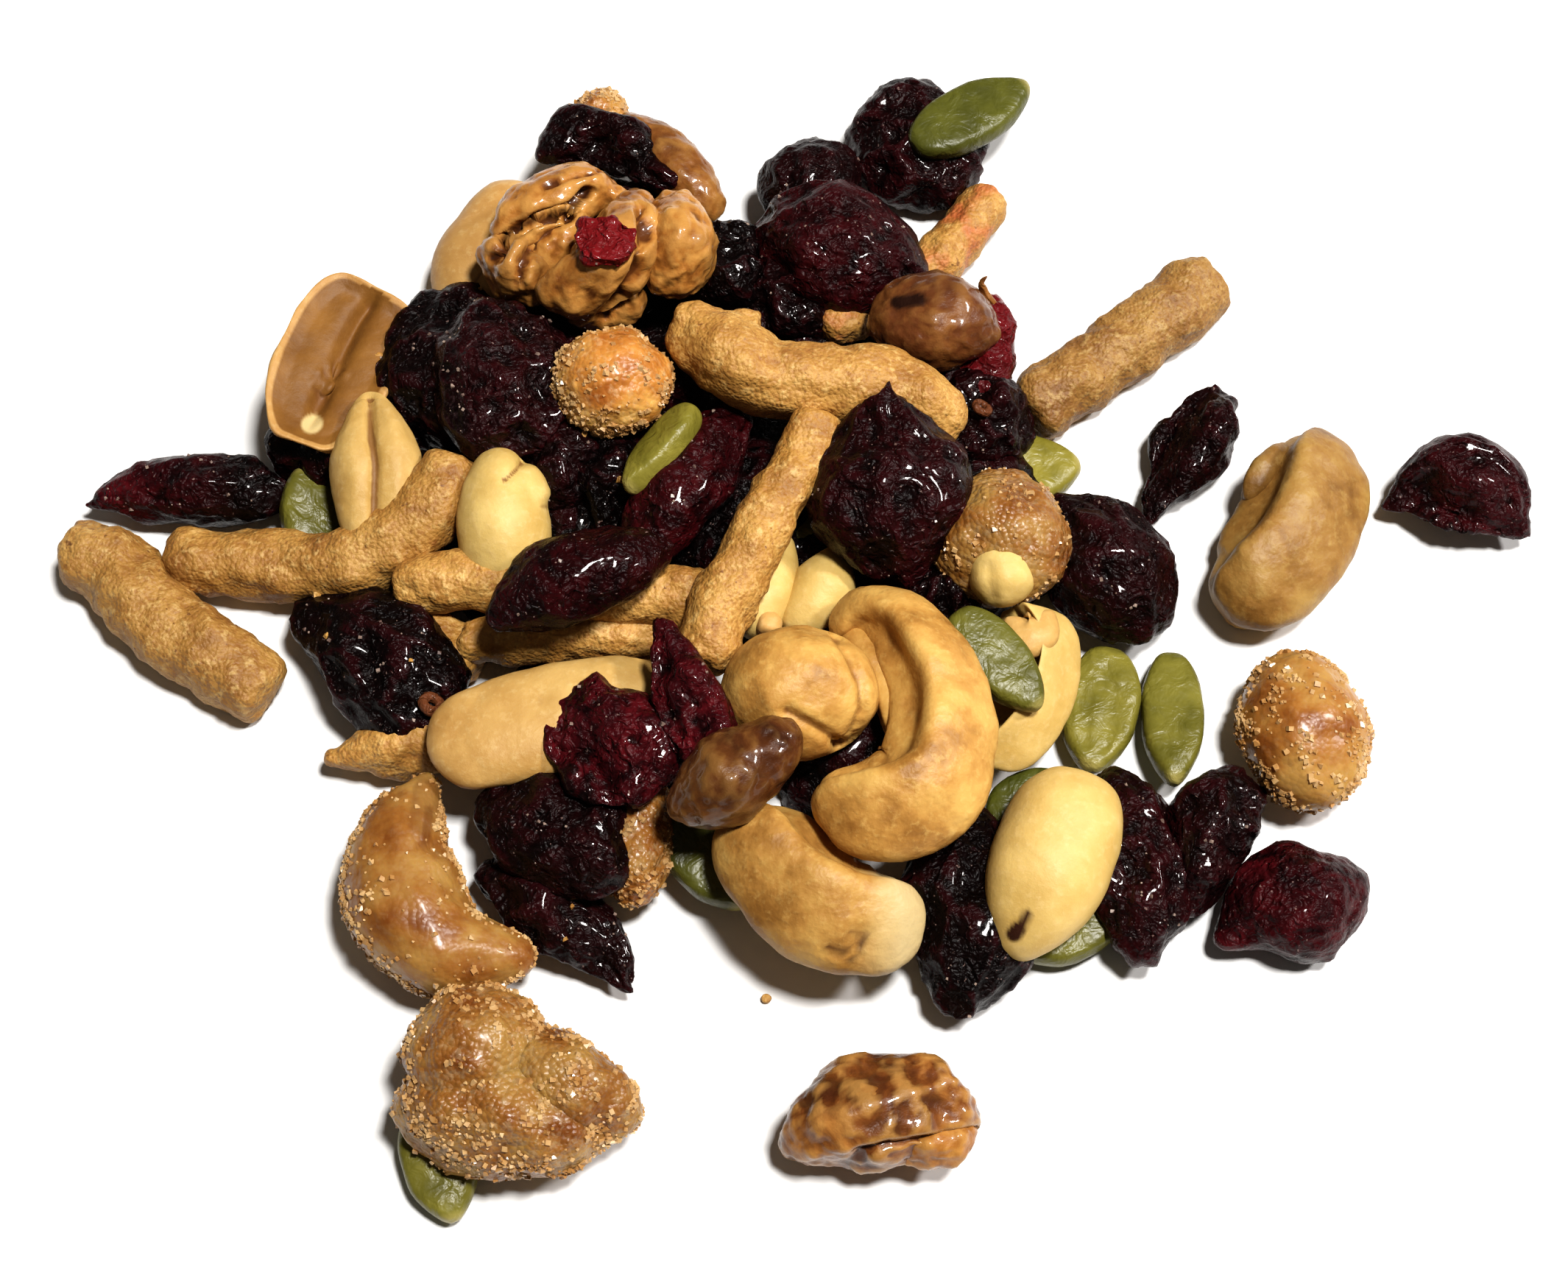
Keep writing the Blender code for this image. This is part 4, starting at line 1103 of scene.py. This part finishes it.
# %% [markdown]
# ## Glazed and sugared nuts
#
# Some nuts are cooked in syrup. The walnuts keep their lobes under a glossy caramel, the small
# ones are brown and bumpy, and the sugared ones are golden with a coat of clear grains. They all
# start as a fine ball. A walnut could be one ball with deep cells pressed in, but lobes laid side
# by side, with creases drawn between them, follow the real nut. The rest is relief: large lumps
# for a walnut, pebbles for the rough lump beside it.

# %% Caramel glaze finish
def glaze_finish():
    material, shader, where = new_finish("caramel_glaze", roughness=0.36, specular_ior_level=0.15,
                                         coat_weight=0.6, coat_roughness=0.08, coat_ior=1.38)
    patches = speckle(material, where, 3.2, 4.0, 0.6, 0.5)
    blots = speckle(material, where, 4.6, 5.0, 0.6, 0.6)
    light = ramp(material, patches, (0.30, (0.15, 0.048, 0.010)), (0.48, (0.34, 0.142, 0.030)),
                 (0.70, (0.50, 0.26, 0.070)))
    dark = ramp(material, blots, (0.36, (0.042, 0.011, 0.004)), (0.50, (0.135, 0.042, 0.010)),
                (0.64, (0.32, 0.138, 0.034)))
    colour = toned(material, "dark", light, dark)
    ridge = ramp(material, own(material, "hollow").outputs["Fac"], (0.12, 0.5), (0.45, 0.0))
    colour = blend_colours(material, ridge, colour, (0.48, 0.26, 0.075))
    # Painted shade: the glaze is darker in its hollows and crevices.
    colour = shade_hollows(material, 0.55, 0.90, 0.9, colour, (0.070, 0.020, 0.006))
    colour = toned(material, "brown", colour, (0.115, 0.040, 0.014))
    # A burn mark on the mottled nut, and painted shade along the walnut's first crease.
    colour = toned(material, "burnt", colour, (0.020, 0.007, 0.004))
    link(material, shaded(material, colour), shader.inputs["Base Color"])
    fine = speckle(material, where, 0.9, 4.0)
    link(material, bump(material, fine, 0.14), shader.inputs["Normal"])
    return material

caramel_glaze = glaze_finish()
print("finish", caramel_glaze.name)

# %% The walnuts and small glazed nuts
WALNUT_RELIEF = ((LUMPS_LARGE, 1.8), (LUMPS, 1.6), (LUMPS_SMALL, 0.35))
GLAZED_RELIEF = ((LUMPS_LARGE, 1.5), (LUMPS_SMALL, 0.5))
WALNUTS = [
    ("top_back", [(-31, 45.6, 13, 0.7), (-29.6, 50.4, 13.5, 1), (-24.6, 53.6, 13.5, 1),
                  (-17.6, 53.4, 13, 0.8)],
     6.6, 8, 0.0),
    ("top_ridge", [(-18.4, 54, 13, 0.7), (-17.8, 49, 15, 1.0), (-21, 43.8, 15, 1.05),
                   (-27, 41.4, 13.5, 0.8)],
     7.6, 9, 0.1),
    ("top_left", [(-33.4, 46.4, 11, 0.7), (-30.4, 44.4, 12.5, 1.1), (-26.4, 41.6, 12, 0.9)], 5.6, 8, 0.35),
    ("top_face", [(-29.6, 45, 11.5), (-22.6, 51.6, 13.5)], 8.2, 8, 0.0),
    ("top_foot", [(-25, 40.8, 10.5), (-15.6, 40.6, 10.5)], 5.4, 8, 0.3),
]
WALNUT_APART = [
    ("apart_body", [(-1.4, -52.0, 5.2, 0.85), (4.7, -49.2, 5.8, 1.0), (11.6, -47.8, 5.8, 1.0),
                    (17.8, -48.8, 5.2, 0.9)],
     10.6, 10.8, 0.9),
    ("apart_ridge", [(2.0, -50.4, 8.2, 0.8), (7.5, -47.0, 9, 1), (13.8, -48.0, 8.2, 0.8)], 4.8, 4.6, 0.6),
    ("apart_lobe", [(9.4, -51.6, 5.4, 0.9), (14, -51.8, 5.4, 1.1), (17.2, -50.2, 5.2, 0.8)], 4.2, 5, 0.2),
]
WALNUT_CREASES = [
    (1.5, 1.1, (-32.3, 46.1), (-31.0, 49.0), (-28.6, 50.7), (-25.7, 51.7), (-23.6, 52.7), (-22.4, 54.4)),
    (1.0, 1.0, (-29.6, 42.9), (-29.2, 45.6), (-27.5, 48.4), (-24.2, 51.2)),
    (1.2, 1.2, (-16.5, 52.4), (-15.9, 49.0), (-16.6, 44.2), (-18.5, 40.9), (-20.1, 38.9)),
    (0.5, 0.7, (-27.2, 55.0), (-24.3, 56.4), (-21.4, 57.1)),
]
GLAZED = [
    ("back_long", [(-20, 63.4, 7), (-14, 58.6, 7.5), (-8.4, 51, 7)], 6.8, 6.6, (1.0, 0.3), 0.1, 0.2),
    ("mottled", [(7.8, 37.4, 11, 0.9), (15, 38, 11, 1), (22.2, 36.6, 10.5, 0.8)],
     10.4, 9.4, 1.0, 0.05, 0.6),
    ("front", [(-12.6, -18.0, 15.5, 0.8), (-7, -14.4, 16.4, 1.08), (0.6, -8.8, 17.5, 0.7)],
     8.6, 8.4, (0.5, 1.2), 0.4, 0.35),
]
ROUGH = [
    ("top_lump", [(-14.4, 53.4, 13, 0.8), (-12.2, 47.4, 13.4, 1.1), (-15, 41.4, 12.5, 0.85)], 7.8, 9, 0.0),
]
ROUGH_RELIEF = ((LUMPS_LARGE, 1.4), (LUMPS, 1.2), (PEBBLES, -0.25), (LUMPS_SMALL, 0.5))

def lay_glazed(layers, name, places, width, thick, dark, shade=0, brown=0):
    """A glazed nut, or one lobe of a walnut, with the relief of its kind."""
    nut = lay(nut_shape, name, places, width, thick, dark=dark, shade=shade, brown=brown)
    return press(nut, *layers)

walnut_lobes = [lay_glazed(WALNUT_RELIEF, *lobe) for lobe in WALNUTS]
for lobe in walnut_lobes:
    for depth, reach, *line in WALNUT_CREASES:
        score(lobe, depth, reach, *line)
    # Painted shade: the first crease of the walnut is darkened along its line.
    mark_spot(lobe, "burnt", 0.55, *WALNUT_CREASES[0][2:], most=0.75)
finish_piece(walnut_lobes, "walnut_top", caramel_glaze, "glazed_nut", HEAP)
stem = lay(seed_shape, "stem", [(21.8, 39.9, 10.0), (20.6, 41.8, 12.0), (20.3, 43.0, 13.5),
                                (20.8, 43.8, 14.5)], 0.7, 0.7, dark=0.7)
press(stem, (LUMPS_SMALL, 0.2))
glazed = [lay_glazed(GLAZED_RELIEF, *nut) for nut in GLAZED]
glazed += [lay_glazed(ROUGH_RELIEF, *nut) for nut in ROUGH] + [stem]
mark_spot(bpy.data.objects["mottled"], "burnt", 1.0, (11.2, 40.5), (13.6, 40.9))
finish_piece(glazed, "glazed_nuts", caramel_glaze, "glazed_nut", HEAP)
apart_lobes = [lay_glazed(WALNUT_RELIEF, *lobe) for lobe in WALNUT_APART]
score(apart_lobes[0], 1.2, 1.1, (6.3, -52.6), (9.2, -51.9), (13.4, -51.4), (17.6, -50.6))
finish_piece(apart_lobes, "walnut_apart", caramel_glaze, "glazed_nut", "walnut_front")

# %% Sugar crust finish
def sugar_finish():
    material, shader, where = new_finish("sugar_crust", roughness=0.35, subsurface_weight=0.2,
                                         subsurface_radius=(1.0, 0.45, 0.12), subsurface_scale=0.003,
                                         specular_ior_level=0.3, coat_weight=0.15, coat_roughness=0.15)
    patches = speckle(material, where, 5.0, 4.0)
    colour = ramp(material, patches, (0.32, (0.30, 0.095, 0.016)), (0.47, (0.47, 0.200, 0.042)),
                  (0.62, (0.62, 0.345, 0.095)))
    # Painted shade: the crust is darker in its hollows.
    colour = shade_hollows(material, 0.58, 0.9, 0.6, colour, (0.24, 0.075, 0.014))
    frosted = own(material, "frost").outputs["Fac"]
    frost = ramp(material, speckle(material, where, 0.8, 4.0, 0.65, 0.3), (0.50, 0.0), (0.66, 0.55))
    colour = blend_colours(material, blend_colours(material, frosted, (0.0, 0.0, 0.0), frost), colour,
                           (0.70, 0.50, 0.28))
    colour = toned(material, "burnt", colour, (0.16, 0.040, 0.010))
    link(material, shaded(material, colour), shader.inputs["Base Color"])
    grain = blend_colours(material, frosted, (0.5, 0.5, 0.5), grains(material, where, 0.55))
    link(material, bump(material, grain, -0.22), shader.inputs["Normal"])
    return material

sugar_crust = sugar_finish()
print("finish", sugar_crust.name)

# %% The sugared nuts
SUGARED_RELIEF = ((LUMPS_LARGE, 2.0), (LUMPS, 0.9), (LUMPS_SMALL, 0.5))
SUGARED = [
    ("cashew", [(-36.6, -13.6, 7, 0.55), (-38.4, -19, 6.6, 0.85), (-38.8, -25.4, 6.2, 1.0),
                (-35, -31.2, 6, 0.95), (-25.6, -33.4, 6, 0.8)], 11.8, 11.4, 0.46, 0.22),
    ("lump_back", [(-25, 62.6, 5.5), (-17.6, 63.0, 5.5)], 7.4, 8, 0.25, 1),
    ("nut_middle", [(-25.4, 30.6, 14), (-13, 31.2, 14)], 11.4, 10.6, 0, 0.5),
    ("nut_low", [(-14.8, -13.5, 6), (-16, -28, 5.5)], 7.2, 7.8, 0.35, 0.9),
    ("rough", [(21.6, 20.0, 10.4, 0.8), (21.6, 13.4, 10.6, 1.08), (20.8, 4.6, 9.0, 1.05)],
     13.0, 11.0, 0.48, 0.8),
    ("front_peak", [(-31.0, -35.4, 7, 0.75), (-30.6, -42, 7.4, 1.1), (-28.6, -51.0, 6.4, 0.95)],
     13.0, 12.6, 0.5, 0.8),
    ("front_base", [(-38.2, -46.8, 6.2, 0.9), (-28, -48.6, 6.8, 1.05), (-17, -50.2, 6, 0.85)],
     11.6, 12.6, 0.5, 0.9),
    ("front_side", [(-28, -41.6, 6.6, 1.0), (-22, -46.2, 7, 1.05), (-14.8, -49.4, 6, 0.75)],
     9.4, 12, 0.52, 0.8),
]

def lay_sugared(name, places, width, thick, shade, frost):
    """A nut in sugar; the more frost, the rougher its crust."""
    layers = [(texture, depth * (0.4 + 0.6 * frost)) for texture, depth in SUGARED_RELIEF]
    return press(lay(nut_shape, name, places, width, thick, shade=shade, frost=frost), *layers)

crusted = [lay_sugared(*nut) for nut in SUGARED]
mark_spot(bpy.data.objects["cashew"], "burnt", 1.6, (-36.6, -15.6), (-36.9, -19.0), most=0.35)
mark_spot(bpy.data.objects["cashew"], "burnt", 0.7, (-36.3, -17.6), (-36.6, -21.0), most=0.6)
sugared = finish_piece(crusted, "sugared_nuts", sugar_crust, "sugared_nut", HEAP)
crusted_apart = [lay_sugared("peanut_apart", [(50.8, -0.6, 5.2), (52, -17.6, 5.2)], 12.6, 11, 0.36, 0.25)]
sugared_apart = finish_piece(crusted_apart, "sugared_peanut_apart", sugar_crust, "sugared_nut",
                             "sugared_peanut_right")

# %% [markdown]
# ## Sugar grains
#
# The grains on the sugared nuts are small clear blocks, a fifth to over half a millimetre long. A
# particle system would be quick, but it wouldn't leave this file as a mesh. We model one grain
# and copy its points to random spots of the crust, so that all grains are one plain mesh.

# %% Grain shape and scattering
def model_grain():
    """A small block with one corner cut off."""
    grain = block("grain_shape", (1.0, 0.9, 0.8), (0, 0, 0))
    pick(grain)
    bpy.ops.object.mode_set(mode="EDIT")
    bpy.ops.mesh.select_all(action="SELECT")
    bpy.ops.mesh.bisect(plane_co=(0.3 * MM, 0.25 * MM, 0.2 * MM), plane_no=(0.6, 0.5, 0.6),
                        use_fill=True, clear_outer=True)
    bpy.ops.mesh.quads_convert_to_tris()
    bpy.ops.object.mode_set(mode="OBJECT")
    return grain

grain_shape = model_grain()
print("grain", len(grain_shape.data.polygons), "faces")

def scatter(shape, surface, name, count, sizes, seed, keep):
    """Copies of a small shape on random spots of a surface, as one mesh."""
    draw = random.Random(seed)
    surface.data.calc_loop_triangles()
    triangles = surface.data.loop_triangles
    weights = [t.area * keep(t) for t in triangles]
    chosen = draw.choices(range(len(triangles)), weights, k=count)
    grain = np.array([v.co for v in shape.data.vertices])
    faces = [list(p.vertices) for p in shape.data.polygons]
    points, polygons = [], []
    for i in chosen:
        corners = [surface.data.vertices[j].co for j in triangles[i].vertices]
        a, b = draw.random(), draw.random()
        if a + b > 1:
            a, b = 1 - a, 1 - b
        spot = corners[0] + (corners[1] - corners[0]) * a + (corners[2] - corners[0]) * b
        turn = Matrix.Rotation(draw.uniform(0, math.tau), 3, Vector((draw.gauss(0, 1), draw.gauss(0, 1),
                                                                     draw.gauss(0, 1))).normalized())
        size = sizes[0] + (sizes[1] - sizes[0]) * draw.random() ** 2
        start = len(points) * len(grain)
        points.append(grain @ np.array(turn).T * size + np.array(spot))
        polygons += [[start + j for j in face] for face in faces]
    data = bpy.data.meshes.new(name)
    data.from_pydata(np.concatenate(points).tolist(), [], polygons)
    obj = bpy.data.objects.new(name, data)
    bpy.context.scene.collection.objects.link(obj)
    return obj

# %% Clear sugar finish
def grain_finish(name, dark, light):
    material, shader, where = new_finish(name, roughness=0.25, transmission_weight=0.25, ior=1.4)
    tint = ramp(material, speckle(material, where, 2.5, 4.0), (0.38, dark), (0.62, light))
    link(material, tint, shader.inputs["Base Color"])
    return material

clear_sugar = grain_finish("clear_sugar", (0.46, 0.235, 0.075), (0.66, 0.44, 0.21))
grey_specks = grain_finish("grey_specks", (0.16, 0.10, 0.085), (0.42, 0.32, 0.26))

def patchy(t):
    """Grains in patches: most at the cashew's rim, fewer on top, few on the rough nut."""
    middle = t.center / MM
    beside_cashew = -36 < middle.y < -10
    on_rough_nut = 5 < middle.x < 30
    patch = max(noise.noise(Vector(middle) / 3.0) + 0.2, 0) * 2.0
    top = 1.0 if t.normal.z < 0.45 else (0.06 if beside_cashew and middle.x < -20 else 0.3)
    rim = 2.5 if beside_cashew and middle.x < -38 else 1.0
    return (0.06 + patch) * top * rim * (t.normal.z > -0.3) * (0.3 if on_rough_nut else 1.0)

finish_piece([scatter(grain_shape, sugared, "grains", 6600, (0.2, 0.6), 7, patchy)],
             "sugar_grains", clear_sugar, "sugar_crystals", HEAP, smooth=False)
finish_piece([scatter(grain_shape, sugared_apart, "grains_apart", 1100, (0.2, 0.6), 8, patchy)],
             "sugar_grains_apart", clear_sugar, "sugar_crystals", "sugared_peanut_right", smooth=False)

# %% Crumbs and specks on the berries
def on_top(t):
    """Specks in patches, on what faces up."""
    return max(noise.noise(Vector(t.center) / MM / 4.0) + 0.1, 0) * (t.normal.z > 0.35)

def on_left_top(t):
    """Crumbs only on the left part of the heap."""
    return on_top(t) * (t.center.x < -8 * MM)

for berries in (black_berries, red_berries):
    finish_piece([scatter(grain_shape, berries, "specks", 160, (0.12, 0.4), 9, on_top)],
                 "sugar_specks_" + berries.name, grey_specks, "sugar_crystals", HEAP, smooth=False)
floor_crumb = lay(seed_shape, "floor_crumb", [(-3.2, -37.2, 0.4), (-2.2, -37.1, 0.4)], 0.9, 0.7)
finish_piece([scatter(grain_shape, black_berries, "crumbs", 14, (0.4, 1.2), 10, on_left_top), floor_crumb],
             "stick_crumbs", baked_crust, "sesame_stick", HEAP, smooth=False)

# %% [markdown]
# ## The dark core
#
# Between the pieces one looks into deep shade, onto more berries. We don't model what nobody can
# see: a low dark mound fills the inside. It is made of overlapping balls that a Remesh modifier
# fuses, cut flat just above the table and wrinkled like the berries.

# %% Core
CORE_BUMPS = [(-27, 30, 15, 11, 9), (-2, 36, 15, 8, 8), (-18, 46, 10, 9, 9), (-10, 27, 10, 9, 8),
              (-22, 12, 17, 12, 9), (-4, 14, 14, 13, 9), (15, 13, 14, 12, 8), (2, -1, 8.5, 8, 8),
              (7, -12, 10, 9, 8), (-20, -9, 10, 10, 7)]
CORE_SHRINK = 0.97
CORE_VOXEL = 0.9
CORE_FLOOR = 0.2

def model_core():
    """A low mound of fused balls, cut flat just above the table."""
    bumps = []
    for x, y, reach_x, reach_y, height in CORE_BUMPS:
        deselect_all()
        bpy.ops.mesh.primitive_uv_sphere_add(segments=24, ring_count=16, radius=1.0,
                                             location=(x * MM, y * MM, 0))
        bump_ball = bpy.context.object
        bump_ball.scale = Vector((reach_x, reach_y, height)) * MM * CORE_SHRINK
        bumps.append(bump_ball)
    for bump_ball in bumps:
        bump_ball.select_set(True)
    bpy.context.view_layer.objects.active = bumps[0]
    bpy.ops.object.transform_apply(location=True, rotation=True, scale=True)
    bpy.ops.object.join()
    core = bpy.context.object
    fused = core.modifiers.new("fuse", "REMESH")
    fused.mode = "VOXEL"
    fused.voxel_size = CORE_VOXEL * MM
    apply_all(core)
    bpy.ops.object.mode_set(mode="EDIT")
    bpy.ops.mesh.select_all(action="SELECT")
    bpy.ops.mesh.bisect(plane_co=(0, 0, CORE_FLOOR * MM), plane_no=(0, 0, 1), use_fill=True,
                        clear_inner=True)
    bpy.ops.object.mode_set(mode="OBJECT")
    for tone in ("red", "dust"):
        keep_tone(core, tone, np.zeros(len(core.data.vertices)))
    return press(core, (FOLDS, 1.6), (WRINKLES, 0.6))

finish_piece([model_core()], "dark_core", berry_skin, "dried_cranberry", HEAP)

# %% [markdown]
# ## Clearing up
#
# The straight shapes that the copies came from aren't part of the heap, so they go.

# %% Remove the patterns
for shape in (stick_shape, cashew_shape, peanut_shape, half_peanut_shape, seed_shape, berry_shape,
              folded_berry_shape, scrap_shape, nut_shape, grain_shape):
    bpy.data.objects.remove(shape)
deselect_all()
